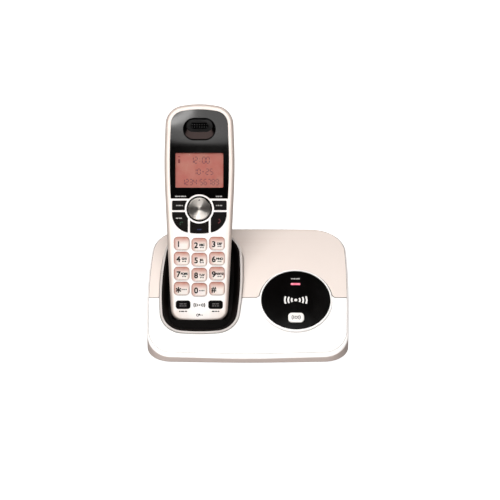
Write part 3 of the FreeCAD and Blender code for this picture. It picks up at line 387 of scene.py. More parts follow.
def stamped_metal(name, color, rough):
    """Plated sheet or turned steel: fine brushing along one direction and a little tarnish."""
    material, tree, shader = new_material(name)
    tarnish = remap(tree, noise(tree, 260, 4.0), 0, 1)
    darker = tuple(channel * 0.72 for channel in color)
    tree.links.new(blend_colors(tree, tarnish, color, darker), shader.inputs["Base Color"])
    brushing = noise(tree, 1800, 3.0, 0.6, (1, 0.05, 1))
    tree.links.new(remap(tree, brushing, rough * 0.8, rough * 1.3), shader.inputs["Roughness"])
    bump(tree, shader, brushing, 0.2, 0.00001)
    shader.inputs["Metallic"].default_value = 1.0
    return material


def spun_metal():
    """Metal turned on a lathe: rings round the disc, so light fans out in wedges."""
    material, tree, shader = new_material("spun_metal")
    where = tree.nodes.new("ShaderNodeTexCoord")
    length = tree.nodes.new("ShaderNodeVectorMath")
    length.operation = "LENGTH"
    tree.links.new(where.outputs["Object"], length.inputs[0])
    rings = tree.nodes.new("ShaderNodeTexNoise")
    rings.noise_dimensions = "1D"
    rings.inputs["Scale"].default_value = 9000
    rings.inputs["Detail"].default_value = 2
    tree.links.new(length.outputs["Value"], rings.inputs["W"])
    tree.links.new(blend_colors(tree, rings.outputs["Fac"], (0.88, 0.82, 0.75), (0.97, 0.93, 0.88)),
                   shader.inputs["Base Color"])
    tree.links.new(remap(tree, rings.outputs["Fac"], 0.32, 0.42), shader.inputs["Roughness"])
    bump(tree, shader, rings.outputs["Fac"], 0.12, 0.00001)
    tangent = tree.nodes.new("ShaderNodeTangent")
    tangent.direction_type = "RADIAL"
    tangent.axis = "Z"
    tree.links.new(tangent.outputs["Tangent"], shader.inputs["Tangent"])
    shader.inputs["Metallic"].default_value = 1.0
    shader.inputs["Anisotropic"].default_value = 0.9
    shader.inputs["Anisotropic Rotation"].default_value = 0.25
    return material


def clear_window():
    """A clear hard-coated window with a trace of fingerprints in its gloss."""
    material, tree, shader = new_material("clear_window")
    smear = noise(tree, 120, 4.0)
    tree.links.new(remap(tree, smear, 0.02, 0.10), shader.inputs["Roughness"])
    tint = remap(tree, noise(tree, 40, 2.0), 0, 1)
    tree.links.new(blend_colors(tree, tint, (1.0, 0.99, 0.98), (0.97, 0.96, 0.95)),
                   shader.inputs["Base Color"])
    shader.inputs["Transmission Weight"].default_value = 1.0
    shader.inputs["IOR"].default_value = 1.02
    shader.inputs["Alpha"].default_value = 0.25
    return material


def lit_display():
    """The backlit display: salmon glow, a little uneven, darker and redder towards its upper left in painted
    shadow.
    """
    material, tree, shader = new_material("lit_display")
    where = tree.nodes.new("ShaderNodeTexCoord")
    split = tree.nodes.new("ShaderNodeSeparateXYZ")
    tree.links.new(where.outputs["Object"], split.inputs["Vector"])
    # Painted shadow along the upper and left edges: darker and redder there.
    across = remap(tree, split.outputs["X"], 1.0, 0.0, -16.5 * MM, 2.0 * MM)
    upward = remap(tree, split.outputs["Y"], 0.0, 1.0, 2.0 * MM, 12.0 * MM)
    corner = math_node(tree, "MAXIMUM", across, upward)
    painted_light_mask = math_node(tree, "MULTIPLY", corner, remap(tree, noise(tree, 160, 3.0), 0.55, 1.0))
    color = blend_colors(tree, painted_light_mask, (0.265, 0.112, 0.074), (0.235, 0.045, 0.032))
    tree.links.new(color, shader.inputs["Base Color"])
    tree.links.new(color, shader.inputs["Emission Color"])
    shader.inputs["Emission Strength"].default_value = 0.55
    tree.links.new(remap(tree, noise(tree, 900, 2.0), 0.3, 0.45), shader.inputs["Roughness"])
    return material


def printed_ink(name, color):
    """Pad-printed ink: slightly uneven cover."""
    material, tree, shader = new_material(name)
    uneven = remap(tree, noise(tree, 2200, 3.0), 0, 1)
    darker = tuple(channel * 0.86 for channel in color)
    tree.links.new(blend_colors(tree, uneven, color, darker), shader.inputs["Base Color"])
    tree.links.new(remap(tree, noise(tree, 900, 2.0), 0.425, 0.575), shader.inputs["Roughness"])
    return material


def circuit_green():
    """Solder mask over copper: the tracks show as lighter bands."""
    material, tree, shader = new_material("circuit_board")
    tracks = noise(tree, 420, 1.0, 0.3, (1, 0.15, 1))
    step = remap(tree, tracks, 0, 1, 0.50, 0.53)
    tree.links.new(blend_colors(tree, step, (0.010, 0.09, 0.035), (0.02, 0.16, 0.06)),
                   shader.inputs["Base Color"])
    tree.links.new(remap(tree, noise(tree, 80, 2.0), 0.25, 0.4), shader.inputs["Roughness"])
    bump(tree, shader, step, 0.3, 0.00003)
    return material


def glowing_lens():
    """The indicator's rose lens, softly lit from inside."""
    material, tree, shader = new_material("red_lens")
    glow = remap(tree, noise(tree, 700, 2.0), 0, 1)
    color = blend_colors(tree, glow, (0.62, 0.10, 0.17), (0.80, 0.26, 0.34))
    tree.links.new(color, shader.inputs["Base Color"])
    tree.links.new(color, shader.inputs["Emission Color"])
    shader.inputs["Emission Strength"].default_value = 0.5
    tree.links.new(remap(tree, noise(tree, 300, 2.0), 0.15, 0.3), shader.inputs["Roughness"])
    return material


def lit_key():
    """A milky key cap: warm light from behind, painted in darker and redder, gathers along its edges, most
    along the upper and left ones.
    """
    material, tree, shader = new_material("translucent_key")
    place = tree.nodes.new("ShaderNodeAttribute")
    place.attribute_name = "key_place"
    split = tree.nodes.new("ShaderNodeSeparateXYZ")
    tree.links.new(place.outputs["Vector"], split.inputs["Vector"])
    # Painted glow: how near each point lies to each edge of the cap.
    top = remap(tree, split.outputs["Y"], 0.0, 1.0, -0.10, 0.95)
    left = remap(tree, split.outputs["X"], 0.95, 0.0, -1.0, -0.35)
    bottom = remap(tree, split.outputs["Y"], 0.45, 0.0, -1.0, -0.80)
    right = remap(tree, split.outputs["X"], 0.0, 0.6, 0.72, 1.0)
    glow = top
    for other in (left, bottom, right):
        glow = math_node(tree, "MAXIMUM", glow, other)
    painted_light_mask = math_node(tree, "MULTIPLY", glow, remap(tree, noise(tree, 260, 2.0), 0.75, 1.0))
    painted_glow_color = blend_colors(tree, painted_light_mask, (0.84, 0.765, 0.72), (0.43, 0.13, 0.075))
    tree.links.new(painted_glow_color, shader.inputs["Base Color"])
    tree.links.new(remap(tree, noise(tree, 500, 2.0), 0.24, 0.36), shader.inputs["Roughness"])
    shader.inputs["Subsurface Weight"].default_value = 0.15
    shader.inputs["Subsurface Radius"].default_value = (0.0012, 0.0006, 0.0004)
    shader.inputs["Coat Weight"].default_value = 0.2
    return material


MATERIALS = {
    "white_shell": white_shell(),
    "pearl_shell": pearl_shell(),
    "gloss_black": gloss_black(),
    "satin_black": satin_black(),
    "black_key": black_key(),
    "translucent_key": lit_key(),
    "spun_metal": spun_metal(),
    "clear_window": clear_window(),
    "display_glass": lit_display(),
    "perforated_metal": stamped_metal("perforated_metal", (0.20, 0.19, 0.19), 0.35),
    "contact_metal": stamped_metal("contact_metal", (0.85, 0.62, 0.30), 0.25),
    "screw_steel": stamped_metal("screw_steel", (0.45, 0.45, 0.46), 0.3),
    "circuit_board": circuit_green(),
    "silicone_rubber": silicone_rubber(),
    "speaker_frame": speaker_frame(),
    "battery_wrap": battery_wrap(),
    "red_lens": glowing_lens(),
    "white_button": white_button(),
}

HANDSET_BACK = handset_pearl()

# nodes that look different from the rest of their slot
OWN_LOOK = {
    "display_panel": crowned_black(),
    "earpiece_grille": stamped_metal("grille_black", (0.004, 0.004, 0.004), 0.5),
    "base_front_cover": front_cover_white(),
    "handset_front_housing": face_white(),
    "handset_back_housing": HANDSET_BACK,
    "battery_door": HANDSET_BACK,
    "cradle_ring": trim_silver(),
    "base_lower_housing": lower_housing_white(),
}


def dress_frame():
    """Every carried-over node gets its own material, or the one of its slot."""
    for entry in frame["record"]["subparts"]:
        node = frame["nodes"][entry["node"]]
        node.data.materials.clear()
        node.data.materials.append(OWN_LOOK.get(entry["node"], MATERIALS[entry["material_slot"]]))


dress_frame()


# ------------------------------------------------------------------ outlines and skins


def grown(corners, by):
    """Corners (x, y, radius), counter-clockwise, with every side moved outwards by a distance."""
    moved = []
    smallest_radius = 0.05
    for k, (x, y, radius) in enumerate(corners):
        here = Vector((x, y))
        came = (here - Vector(corners[k - 1][:2])).normalized()
        goes = (Vector(corners[(k + 1) % len(corners)][:2]) - here).normalized()
        out_came, out_goes = Vector((came.y, -came.x)), Vector((goes.y, -goes.x))
        step = (out_came + out_goes) * (by / (1 + out_came.dot(out_goes)))
        turn = by if came.cross(goes) > 0 else -by
        moved.append((x + step.x, y + step.y, max(radius + turn, smallest_radius)))
    return moved


def outline(corners, arc_steps=8):
    """Points along the rounded outline: the same number for every growth of the same corners."""
    points = []
    for k, (x, y, radius) in enumerate(corners):
        here = Vector((x, y))
        came = (here - Vector(corners[k - 1][:2])).normalized()
        goes = (Vector(corners[(k + 1) % len(corners)][:2]) - here).normalized()
        half_turn = came.angle(goes) / 2
        reach = radius * math.tan(half_turn)
        inward = (goes - came).normalized()
        centre = here + inward * (radius / math.cos(half_turn))
        start = here - came * reach - centre
        turn = 2 * half_turn * (1 if came.cross(goes) > 0 else -1)
        for step in range(arc_steps + 1):
            angle = turn * step / arc_steps
            points.append(centre + Matrix.Rotation(angle, 2) @ start)
    return points


def box_corners(wide, high, corner, at_x=0.0, at_y=0.0):
    """The corners of a rectangle, all with one radius."""
    x, y = wide / 2, high / 2
    return [(at_x + side, at_y + end, corner) for side, end in ((-x, -y), (x, -y), (x, y), (-x, y))]


def ring(points, height):
    """An outline lifted to a height."""
    return [Vector((point.x, point.y, height)) for point in points]


def skin(name, rings):
    """A smooth mesh through rings of equally many points, in millimetres, closed by flat ends."""
    mesh = bpy.data.meshes.new(name)
    count = len(rings[0])
    vertices = [point * MM for row in rings for point in row]
    faces = []
    for row in range(len(rings) - 1):
        for k in range(count):
            here, following = row * count + k, row * count + (k + 1) % count
            faces.append((here, following, following + count, here + count))
    last = (len(rings) - 1) * count
    faces.append(tuple(reversed(range(count))))
    faces.append(tuple(range(last, last + count)))
    mesh.from_pydata(vertices, [], faces)
    mesh.validate()
    mesh.polygons.foreach_set("use_smooth", [True] * len(mesh.polygons))
    piece = bpy.data.objects.new(name, mesh)
    scene.collection.objects.link(piece)
    return piece


def sharpen(piece):
    """Smooth shading that still breaks at real edges."""
    for edge in piece.data.edges:
        edge.use_edge_sharp = False
    sharp_from = math.radians(50)
    piece.data.set_sharp_from_angle(angle=sharp_from)


def fit(piece, place, body, slot, material=None, stands_for=()):
    """Puts a piece in its place, gives it its material and ties it to its body."""
    piece.matrix_world = place
    piece.data.materials.clear()
    piece.data.materials.append(material or MATERIALS[slot])
    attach(piece, body)
    if stands_for:
        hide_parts(*stands_for)
    return piece


def cap_rings(corners, low, high, edge, dome, edge_steps=5, dome_steps=6):
    """Rings of a key cap: straight sides, a quarter-round edge, then a slightly domed top."""
    rings = [ring(outline(corners), low), ring(outline(corners), high - edge)]
    for step in range(1, edge_steps + 1):
        angle = step / edge_steps * math.pi / 2
        inset = edge * (1 - math.cos(angle))
        rings.append(ring(outline(grown(corners, -inset)), high - edge + edge * math.sin(angle)))
    xs, ys, _ = zip(*corners)
    nearly_half = 0.47
    reach = nearly_half * min(max(xs) - min(xs), max(ys) - min(ys))
    for step in range(1, dome_steps + 1):
        share = step / dome_steps
        inset = edge + (reach - edge) * share
        rings.append(ring(outline(grown(corners, -inset)), high + dome * (1 - (1 - share) ** 2)))
    return rings


# ------------------------------------------------------------------ printed marks


def flat_mark(name, pieces, thick=0.03):
    """One thin printed shape from several outlines, each a list of 2D points in millimetres."""
    mesh = bpy.data.meshes.new(name)
    vertices, faces = [], []
    for points in pieces:
        base, count = len(vertices), len(points)
        vertices += [Vector((x, y, 0)) * MM for x, y in points]
        vertices += [Vector((x, y, thick)) * MM for x, y in points]
        faces.append(tuple(reversed(range(base, base + count))))
        faces.append(tuple(range(base + count, base + 2 * count)))
        for k in range(count):
            following = (k + 1) % count
            faces.append((base + k, base + following, base + count + following, base + count + k))
    mesh.from_pydata(vertices, [], faces)
    mesh.validate()
    mark = bpy.data.objects.new(name, mesh)
    scene.collection.objects.link(mark)
    return mark


def bar(wide, high, at_x=0.0, at_y=0.0, corner=None):
    """The outline of a small rounded bar."""
    corner = min(wide, high) * 0.45 if corner is None else corner
    return outline(box_corners(wide, high, corner, at_x, at_y), 4)


def arc_band(radius, width, start, end, steps=16):
    """A curved stripe between two angles, in degrees."""
    angles = [math.radians(start + (end - start) * step / steps) for step in range(steps + 1)]
    outside, inside = radius + width / 2, radius - width / 2
    outer = [(outside * math.cos(angle), outside * math.sin(angle)) for angle in angles]
    inner = [(inside * math.cos(angle), inside * math.sin(angle)) for angle in angles]
    return outer + inner[::-1]


def handset_glyph(size, turn):
    """A plain telephone-handset sign: a curved grip between two pads."""
    shapes = [arc_band(size * 0.62, size * 0.24, 30, 150)]
    for side in (-1, 1):
        shapes.append(bar(size * 0.42, size * 0.34, side * size * 0.52, size * 0.20))
    turned = Matrix.Rotation(math.radians(turn), 2)
    return [[turned @ Vector(point) for point in shape] for shape in shapes]


def radio_glyph(size, stroke):
    """A dot with three radio waves to both sides; the stroke is a share of the size."""
    dot = size * 0.24
    shapes = [outline(box_corners(dot, dot, dot * 0.49), 6)]
    for k in range(1, 4):
        half_angle = 38 - 5 * k
        for middle in (0, 180):
            shapes.append(arc_band(size * (0.06 + 0.26 * k), size * stroke, middle - half_angle,
                                   middle + half_angle))
    return shapes


def word_bars(lengths, high, gap=0.35):
    """A line of small bars where a printed word would be."""
    total = sum(lengths) + gap * (len(lengths) - 1)
    shapes, x = [], -total / 2
    for length in lengths:
        shapes.append(bar(length, high, x + length / 2, 0, corner=high * 0.3))
        x += length + gap
    return shapes


def type_mesh(name, words, size, spread):
    """The mesh of some words in the built-in type."""
    curve = bpy.data.curves.new(name, "FONT")
    curve.body = words
    curve.align_x, curve.align_y = "CENTER", "CENTER"
    curve.size = size * MM
    half_thick = 0.015
    curve.extrude = half_thick * MM
    curve.space_character = spread
    source = bpy.data.objects.new(name + "_type", curve)
    scene.collection.objects.link(source)
    bpy.context.view_layer.update()
    mesh = bpy.data.meshes.new_from_object(source.evaluated_get(bpy.context.evaluated_depsgraph_get()))
    bpy.data.objects.remove(source)
    return mesh


def text_mark(name, words, size, place, body, slot, material, spread=1.0, bold=0.0):
    """Raised print, centred on its place; bold type is struck several times, each a little aside."""
    mesh = type_mesh(name, words, size, spread)
    strikes = [(0, 0)] + [(x, y) for x in (-bold, bold) for y in (-bold, bold) if bold]
    struck = bmesh.new()
    for x, y in strikes:
        moved = mesh.copy()
        moved.transform(Matrix.Translation(Vector((x, y, 0)) * MM))
        struck.from_mesh(moved)
        bpy.data.meshes.remove(moved)
    struck.to_mesh(mesh)
    struck.free()
    mark = bpy.data.objects.new(name, mesh)
    scene.collection.objects.link(mark)
    return fit(mark, place, body, slot, material)


INK = {
    "black": printed_ink("ink_black", (0.012, 0.011, 0.011)),
    "white": printed_ink("ink_white", (0.42, 0.41, 0.40)),
    "grey": printed_ink("ink_grey", (0.16, 0.15, 0.15)),
    "green": printed_ink("ink_green", (0.006, 0.040, 0.018)),
    "red": printed_ink("ink_red", (0.10, 0.010, 0.014)),
    "blue": printed_ink("ink_blue", (0.012, 0.022, 0.085)),
    "grey_dark": printed_ink("ink_grey_dark", (0.10, 0.095, 0.09)),
    "bright": printed_ink("ink_bright", (0.85, 0.84, 0.82)),
    "display": printed_ink("ink_display", (0.085, 0.018, 0.030)),
    "battery": printed_ink("ink_battery", (0.16, 0.008, 0.008)),
}


def on_handset(x, y, z):
    """A place in the handset's own axes, given in millimetres."""
    return HANDSET @ Matrix.Translation(Vector((x, y, z)) * MM)


def on_panel(x, y, z):
    """A place in the round panel's own axes, given in millimetres."""
    return PANEL @ Matrix.Translation(Vector((x, y, z)) * MM)


# ------------------------------------------------------------------ digit keys


# a digit key in millimetres: proud stands above the face, foot and flange are hidden under it
KEY = {"wide": 10.5, "high": 8.9, "corner": 2.6, "proud": 0.9, "foot": 2.9,
       "flange": 0.6, "flange_thick": 0.8, "edge": 0.6, "dome": 0.12}
# sizes and places of the print on a key, in millimetres from the key's middle
FIGURE = {"size": 5.4, "across": -2.2, "up": -0.6, "bold": 0.17}
STAR = {"size": 8.5, "drop": -1.9}
LETTERS = {"size": 2.1, "across": 1.75, "up": -0.2, "bold": 0.12, "spread": 0.9}
SECOND_ROW_UP, SIDE_WORD_UP, BAR_HIGH, BAR_GAP = -1.9, -0.5, 0.9, 0.25
PRINT_LIFT = 0.005  # print stands this far off a flat top
PRINT_SINK = 0.01  # and is set this far into a domed one
KEY_LEGENDS = {
    "key_1": ("1", ""), "key_2": ("2", "ABC"), "key_3": ("3", "DEF"),
    "key_4": ("4", "GHI"), "key_5": ("5", "JKL"), "key_6": ("6", "MNO"),
    "key_7": ("7", "PQRS"), "key_8": ("8", "TUV"), "key_9": ("9", "WXYZ"),
    "key_star": ("*", ""), "key_0": ("0", ""), "key_hash": ("#", ""),
}


def middle_of(node):
    """The middle of a node's box, in the handset's own axes, in millimetres."""
    low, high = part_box(node)
    return (HANDSET.inverted() @ ((low + high) / 2)) / MM


def stepped_cap(name, corners, foot, flange, flange_thick, proud, edge, dome):
    """A key on its wider foot."""
    wide = outline(grown(corners, flange))
    rings = [ring(wide, -foot), ring(wide, -foot + flange_thick)]
    rings += cap_rings(corners, -foot + flange_thick, proud, edge, dome)
    piece = skin(name, rings)
    sharpen(piece)
    return piece


def mark_key_place(piece, wide, high):
    """Stores where each point lies on its key, from -1 to 1 both ways, for the painted glow."""
    attribute = piece.data.attributes.new("key_place", "FLOAT_VECTOR", "POINT")
    for vertex, item in zip(piece.data.vertices, attribute.data):
        item.vector = (vertex.co.x / (wide / 2 * MM), vertex.co.y / (high / 2 * MM), vertex.co.z / MM)


def key_cap(name, spot):
    """The milky cap of a digit key."""
    corners = box_corners(KEY["wide"], KEY["high"], KEY["corner"])
    piece = stepped_cap(name + "_cap", corners, KEY["foot"], KEY["flange"], KEY["flange_thick"], KEY["proud"],
                        KEY["edge"], KEY["dome"])
    mark_key_place(piece, KEY["wide"], KEY["high"])
    fit(piece, on_handset(spot.x, spot.y, 0), name, "translucent_key", stands_for=(name,))


def key_bars(name, piece_name, lengths, spot, up, height):
    """Small bars on a digit key, in place of words."""
    bars = flat_mark(piece_name, word_bars(lengths, BAR_HIGH, BAR_GAP))
    fit(bars, on_handset(spot.x + LETTERS["across"], spot.y + up, height), name, "translucent_key",
        INK["grey_dark"])


def digit_key(name):
    """A milky cap with its figure, its letters and small bars in place of words."""
    spot = middle_of(name)
    key_cap(name, spot)
    figure, letters = KEY_LEGENDS[name]
    print_height = KEY["proud"] + KEY["dome"] - PRINT_SINK
    size, drop = (STAR["size"], STAR["drop"]) if figure == "*" else (FIGURE["size"], 0.0)
    text_mark(name + "_figure", figure, size,
              on_handset(spot.x + FIGURE["across"], spot.y + FIGURE["up"] + drop, print_height), name,
              "translucent_key", INK["black"], bold=FIGURE["bold"])
    if letters:
        text_mark(name + "_letters", letters, LETTERS["size"],
                  on_handset(spot.x + LETTERS["across"], spot.y + LETTERS["up"], print_height), name,
                  "translucent_key", INK["black"], spread=LETTERS["spread"], bold=LETTERS["bold"])
        key_bars(name, name + "_second_row", (0.8, 0.5, 0.9), spot, SECOND_ROW_UP,
                 print_height - PRINT_SINK)
    elif figure in "0*":
        key_bars(name, name + "_word", (0.8, 0.6, 0.8, 0.7), spot, SIDE_WORD_UP,
                 print_height - PRINT_SINK)


for key_name in KEY_LEGENDS:
    digit_key(key_name)


# ------------------------------------------------------------------ softened edges of the carried-over parts


# width of the rounding on each part, in millimetres
SOFT_EDGES = {
    "soft_key_left": 0.35, "soft_key_right": 0.35, "talk_key": 0.35, "end_key": 0.35, "menu_key": 0.35,
    "aux_key_left": 0.4, "aux_key_right": 0.4, "cradle_insert": 0.3, "cradle_ring": 0.25,
    "base_front_cover": 0.2, "base_rear_cover": 0.2, "display_panel": 0.2, "handset_front_housing": 0.15,
    "battery_door": 0.3, "find_button": 0.2,
}


def soften_edges():
    """Rounds the sharp moulded edges, so that each one catches a line of light."""
    for node, width in SOFT_EDGES.items():
        rounding = frame["nodes"][node].modifiers.new("soft_edge", "BEVEL")
        rounding.width = width * MM
        rounding.segments = 3
        rounding.limit_method = "ANGLE"
        rounding.angle_limit = math.radians(40)
        rounding.harden_normals = True


soften_edges()


# ------------------------------------------------------------------ navigation disc


DISC = {"radius": 7.7, "top": 0.9, "under": -1.9, "edge": 0.5, "dish": 0.55, "stem": 1.6, "stem_long": 1.2}


def circle(radius, height, steps=96):
    """A ring of points round the middle, at a height."""
    turns = [2 * math.pi * k / steps for k in range(steps)]
    return [Vector((radius * math.cos(turn), radius * math.sin(turn), height)) for turn in turns]


def navigation_disc():
    """A turned metal disc with a rounded rim and a shallow dish, on its short stem."""
    radius, top, edge = DISC["radius"], DISC["top"], DISC["edge"]
    rings = [circle(DISC["stem"], DISC["under"] - DISC["stem_long"]), circle(DISC["stem"], DISC["under"]),
             circle(radius, DISC["under"]), circle(radius, top - edge)]
    edge_steps, face_steps = 6, 25
    for step in range(1, edge_steps + 1):
        turn = step / edge_steps * math.pi / 2
        rings.append(circle(radius - edge + edge * math.cos(turn), top - edge + edge * math.sin(turn)))
    for step in range(1, face_steps):
        share = step / face_steps
        hollow = DISC["dish"] * math.sin(share * math.pi / 2)
        rings.append(circle((radius - edge) * (1 - share), top - hollow))
    piece = skin("nav_disc_turned", rings)
    sharpen(piece)
    pivot = middle_of("nav_frame")
    fit(piece, on_handset(0, pivot.y, 0), "nav_disc", "spun_metal", stands_for=("nav_disc",))
    arrow_from_rim, arrow_sunk = 2.0, 0.02
    arrow = flat_mark("nav_up_arrow", [[(-0.75, 0), (0.75, 0), (0, 1.0)]])
    fit(arrow, on_handset(0, pivot.y + radius - arrow_from_rim, top - arrow_sunk), "nav_disc", "satin_black", INK["black"])


navigation_disc()


# ------------------------------------------------------------------ display


def top_of(node):
    """The height of a handset part's highest point above the keypad face, in millimetres."""
    to_handset = HANDSET.inverted() @ frame["nodes"][node].matrix_world
    return max((to_handset @ vertex.co).z for vertex in frame["nodes"][node].data.vertices) / MM


SEGMENTS = {"0": "abcdef", "1": "bc", "2": "abged", "3": "abgcd", "4": "fgbc", "5": "afgcd", "6": "afgecd",
            "7": "abc", "8": "abcdefg", "9": "abcdfg", "-": "g"}


def seven_segment(figure, at_x, at_y, wide, high, stroke):
    """The bars of one figure of a segment display, standing on (at_x, at_y)."""
    middle, half = at_y + high / 2, high / 2
    flat, tall = (wide - stroke * 1.2, stroke), (stroke, half - stroke * 1.2)
    places = {"a": (flat, 0.5, high), "g": (flat, 0.5, half), "d": (flat, 0.5, 0),
              "f": (tall, 0, half * 1.5), "b": (tall, 1, half * 1.5), "e": (tall, 0, half * 0.5),
              "c": (tall, 1, half * 0.5)}
    shapes = []
    for segment in SEGMENTS.get(figure, ""):
        size, across, up = places[segment]
        shapes.append(bar(*size, at_x + across * wide, at_y + up, corner=stroke * 0.3))
    if figure == ":":
        for up in (0.3, 0.7):
            shapes.append(bar(stroke, stroke, at_x + wide / 2, at_y + up * high))
    return shapes


# figures, left edge, foot, width and height of one figure, stroke and gap, in millimetres
DISPLAY_ROWS = (
    ("12:00", -6.2, 5.0, 2.0, 4.2, 0.50, 0.75),
    ("10-25", -4.2, -2.9, 1.9, 3.9, 0.48, 1.0),
    ("1234", -12.2, -10.0, 1.9, 3.9, 0.48, 0.85),
    ("56789", 0.4, -10.0, 1.9, 3.9, 0.48, 0.85),
)


def display_row(text, at_x, at_y, wide, high, stroke, gap):
    """The bars of one line of figures."""
    shapes = []
    for k, figure in enumerate(text):
        shapes += seven_segment(figure, at_x + k * (wide + gap), at_y, wide, high, stroke)
    return shapes


def display_marks():
    """Three lines of plain figures and a battery sign on the display."""
    middle = middle_of("display_module")
    film = 0.02
    height = top_of("display_module") + film
    rows = []
    for row in DISPLAY_ROWS:
        rows += display_row(*row)
    marks = flat_mark("display_figures", rows, film)
    fit(marks, on_handset(0, middle.y, height), "handset", "display_glass", INK["display"])
    battery = [bar(1.5, 2.5, -14.0, 6.3, 0.2), bar(0.7, 0.4, -14.0, 7.8, 0.1), bar(1.5, 0.5, -14.0, 9.4, 0.2)]
    sign = flat_mark("display_battery_sign", battery, film)
    fit(sign, on_handset(0, middle.y, height), "handset", "display_glass", INK["battery"])


display_marks()


# ------------------------------------------------------------------ printed marks on keys and panels


def key_mark(name, node, shapes, at_x, at_y, ink):
    """A printed sign that moves with its key."""
    height = top_of(node) + PRINT_LIFT
    fit(flat_mark(name, shapes), on_handset(at_x, at_y, height), node, "black_key", INK[ink])


def function_key_marks():
    """The signs on the two soft keys and on the talk, end and menu keys."""
    left, right = middle_of("soft_key_left"), middle_of("soft_key_right")
    key_mark("soft_left_sign", "soft_key_left", word_bars((1.1, 1.9, 0.9), 0.75), left.x, left.y, "white")
    key_mark("soft_right_sign", "soft_key_right", word_bars((0.8, 1.2, 1.6), 0.75), right.x, right.y, "white")
    talk, end = middle_of("talk_key"), middle_of("end_key")
    key_mark("talk_word", "talk_key", word_bars((1.7, 2.2), 0.8), talk.x - 0.7, talk.y + 2.9, "white")
    key_mark("talk_sign", "talk_key", handset_glyph(2.1, 45), talk.x + 1.3, talk.y - 1.0, "green")
    key_mark("end_sign", "end_key", handset_glyph(2.3, -100), end.x - 0.4, end.y + 1.0, "red")
    menu = middle_of("menu_key")
    key_mark("menu_sign", "menu_key", word_bars((0.9, 1.5), 0.8), menu.x, menu.y - 1.5, "blue")


def aux_key_marks():
    """Two lines of bars on each of the small lower keys."""
    bar_high, upper_up, lower_down = 0.55, 0.75, 0.65
    for side in ("left", "right"):
        node = "aux_key_" + side
        spot = middle_of(node)
        upper = [[(x, y + upper_up) for x, y in shape] for shape in word_bars((2.4, 2.0), bar_high)]
        lower = [[(x, y - lower_down) for x, y in shape] for shape in word_bars((1.5, 1.1, 1.6), bar_high)]
        key_mark("aux_" + side + "_sign", node, upper + lower, spot.x, spot.y, "grey")


def housing_marks():
    """The small labels printed on the keypad face and on the display panel."""
    face, panel = 0.02, top_of("display_panel") + PRINT_LIFT
    labels_under_keys, labels_over_keys = 4.4, 6.3
    sign_over_labels, microphone_aside, microphone_down = 4.3, -1.2, 2.6
    low = middle_of("aux_key_left").y - labels_under_keys
    side = middle_of("aux_key_right").x
    for name, lengths, at_x in (("left", (1.0, 2.2, 1.6), -side), ("right", (1.9, 1.3, 1.2), side)):
        fit(flat_mark("aux_label_" + name, word_bars(lengths, 0.75)), on_handset(at_x, low, face), "handset",
            "satin_black", INK["black"])
    radio_sign = flat_mark("radio_sign_handset", radio_glyph(4.4, stroke=0.15))
    fit(radio_sign, on_handset(0, low + sign_over_labels, face), "handset", "satin_black", INK["black"])
    microphone = [arc_band(0.75, 0.45, 0, 360), bar(0.9, 0.5, 1.9, 0), bar(0.9, 0.5, 3.1, 0)]
    fit(flat_mark("microphone_sign", microphone),
        on_handset(microphone_aside, low - microphone_down, face), "handset", "satin_black", INK["grey_dark"])
    label_up = middle_of("soft_key_left").y + labels_over_keys
    for name, lengths, at_x in (("left", (1.9, 1.4, 2.2, 1.2), -12.9), ("right", (0.7, 1.4, 1.5), 13.5)):
        fit(flat_mark("panel_label_" + name, word_bars(lengths, 0.8, 0.3)), on_handset(at_x, label_up, panel),
            "handset", "gloss_black", INK["white"])


def round_panel_marks():
    """The sign in the middle of the round panel, the label over its lamp and the one on its button."""
    face, find_proud = 0.01, 0.7
    lamp_up, find_down, label_above_lamp = 13.1, 14.4, 4.4
    radio_sign = flat_mark("radio_sign_base", radio_glyph(9.0, stroke=0.13))
    fit(radio_sign, on_panel(0, 0, face), "base", "gloss_black", INK["bright"])
    lamp_label = flat_mark("lamp_label", word_bars((1.2, 1.6, 2.6), 1.1))
    fit(lamp_label, on_panel(0, lamp_up + label_above_lamp, face), "base", "gloss_black", INK["white"])
    pager = [arc_band(0.9, 0.5, 0, 360), arc_band(1.9, 0.45, -45, 45), arc_band(1.9, 0.45, 135, 225),
             arc_band(2.9, 0.45, -38, 38), arc_band(2.9, 0.45, 142, 218)]
    fit(flat_mark("find_sign", pager), on_panel(0, -find_down, find_proud + PRINT_LIFT), "find_button",
        "white_button", INK["black"])


function_key_marks()
aux_key_marks()
housing_marks()
round_panel_marks()


# ------------------------------------------------------------------ light, floor and camera


WARM_WHITE = (1.0, 0.985, 0.97)
OBJECT_MIDDLE = Vector((0, 0, 0.05))


def softbox(name, azimuth, elevation, distance, size, power, mirrored_too):
    """A soft light aimed at the middle of the object; azimuth 0 is straight in front, right is positive."""
    turn, rise = math.radians(azimuth), math.radians(elevation)
    towards = Vector((math.sin(turn) * math.cos(rise), -math.cos(turn) * math.cos(rise), math.sin(rise)))
    light = bpy.data.lights.new(name, "AREA")
    light.shape = "RECTANGLE"
    light.size, light.size_y = size
    light.energy = power
    light.color = WARM_WHITE
    box = bpy.data.objects.new(name, light)
    box.location = OBJECT_MIDDLE + towards * distance
    box.rotation_euler = (-towards).to_track_quat("-Z", "Y").to_euler()
    box.visible_glossy = mirrored_too
    scene.collection.objects.link(box)


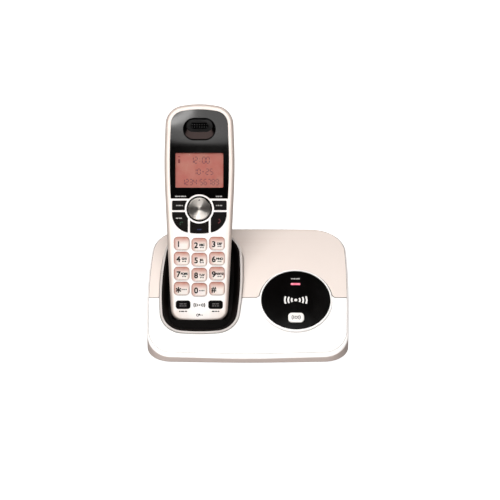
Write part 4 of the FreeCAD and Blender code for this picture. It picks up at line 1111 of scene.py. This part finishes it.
def floor():
    """A wide white table top that stays white behind the object."""
    mesh = bpy.data.meshes.new("floor")
    reach = 4.0
    corners = [(-reach, -reach, 0), (reach, -reach, 0), (reach, reach, 0), (-reach, reach, 0)]
    mesh.from_pydata(corners, [], [(0, 1, 2, 3)])
    table = bpy.data.objects.new("floor", mesh)
    material, tree, shader = new_material("pale_floor")
    tone = remap(tree, noise(tree, 3, 2.0), 0, 1)
    tree.links.new(blend_colors(tree, tone, (0.36, 0.355, 0.35), (0.34, 0.335, 0.33)),
                   shader.inputs["Base Color"])
    shader.inputs["Roughness"].default_value = 0.9
    shader.inputs["Specular IOR Level"].default_value = 0.1
    seen = tree.nodes.new("ShaderNodeLightPath")
    shader.inputs["Emission Color"].default_value = (1, 1, 1, 1)
    tree.links.new(seen.outputs["Is Camera Ray"], shader.inputs["Emission Strength"])
    mesh.materials.append(material)
    scene.collection.objects.link(table)


def world():
    """Even fill light that hardly shows in polished faces."""
    sky = bpy.data.worlds.new("studio")
    sky.use_nodes = True
    tree = sky.node_tree
    backdrop = tree.nodes["Background"]
    backdrop.inputs["Color"].default_value = (1.0, 0.97, 0.95, 1.0)
    seen = tree.nodes.new("ShaderNodeLightPath")
    strength = math_node(tree, "MULTIPLY_ADD", seen.outputs["Is Diffuse Ray"], SKY_FILL, SKY_IN_MIRRORS)
    tree.links.new(strength, backdrop.inputs["Strength"])
    scene.world = sky


def camera():
    """Straight on from the front, looking down at 32 degrees, with a long lens."""
    elevation = math.radians(32)
    distance, aim_rise, aim_side = 1.1715, 0.077626, 0.0015
    focal_length, sensor_width = 124.4, 36
    forward = Vector((0, math.cos(elevation), -math.sin(elevation)))
    upward = Vector((0, math.sin(elevation), math.cos(elevation)))
    front_foot = Vector((0, cad_box[0][1], 0))
    lens_data = bpy.data.cameras.new("camera")
    lens_data.lens = focal_length
    lens_data.sensor_width = sensor_width
    lens_data.clip_start = 0.05
    viewer = bpy.data.objects.new("camera", lens_data)
    viewer.location = front_foot + Vector((aim_side, 0, 0)) + upward * aim_rise - forward * distance
    viewer.rotation_euler = forward.to_track_quat("-Z", "Y").to_euler()
    scene.collection.objects.link(viewer)
    scene.camera = viewer


# name, azimuth, elevation, distance and size in metres, power in watts, whether polished faces mirror it
LIGHTS = (
    ("key", -13, 45, 0.62, (0.80, 0.42), 3.35, False),
    ("top", 0, 96, 0.70, (0.80, 0.50), 1.1, False),
    ("left_card", -28, 60, 0.9, (0.74, 0.50), 2.7, True),
    ("glint_above", 3, 90, 0.9, (0.50, 0.13), 0.35, True),
    ("glint_disc", 1, 58, 0.9, (0.06, 0.30), 0.5, True),
    ("back_fill", 180, 14, 1.0, (1.2, 0.6), 3.0, False),
)
SKY_FILL, SKY_IN_MIRRORS = 0.13, 0.004


def studio():
    """Broad lights for shape, cards that also show in polished faces, and a fill from behind."""
    for light in LIGHTS:
        softbox(*light)
    floor()
    world()
    scene.view_settings.view_transform = "Standard"


studio()
camera()
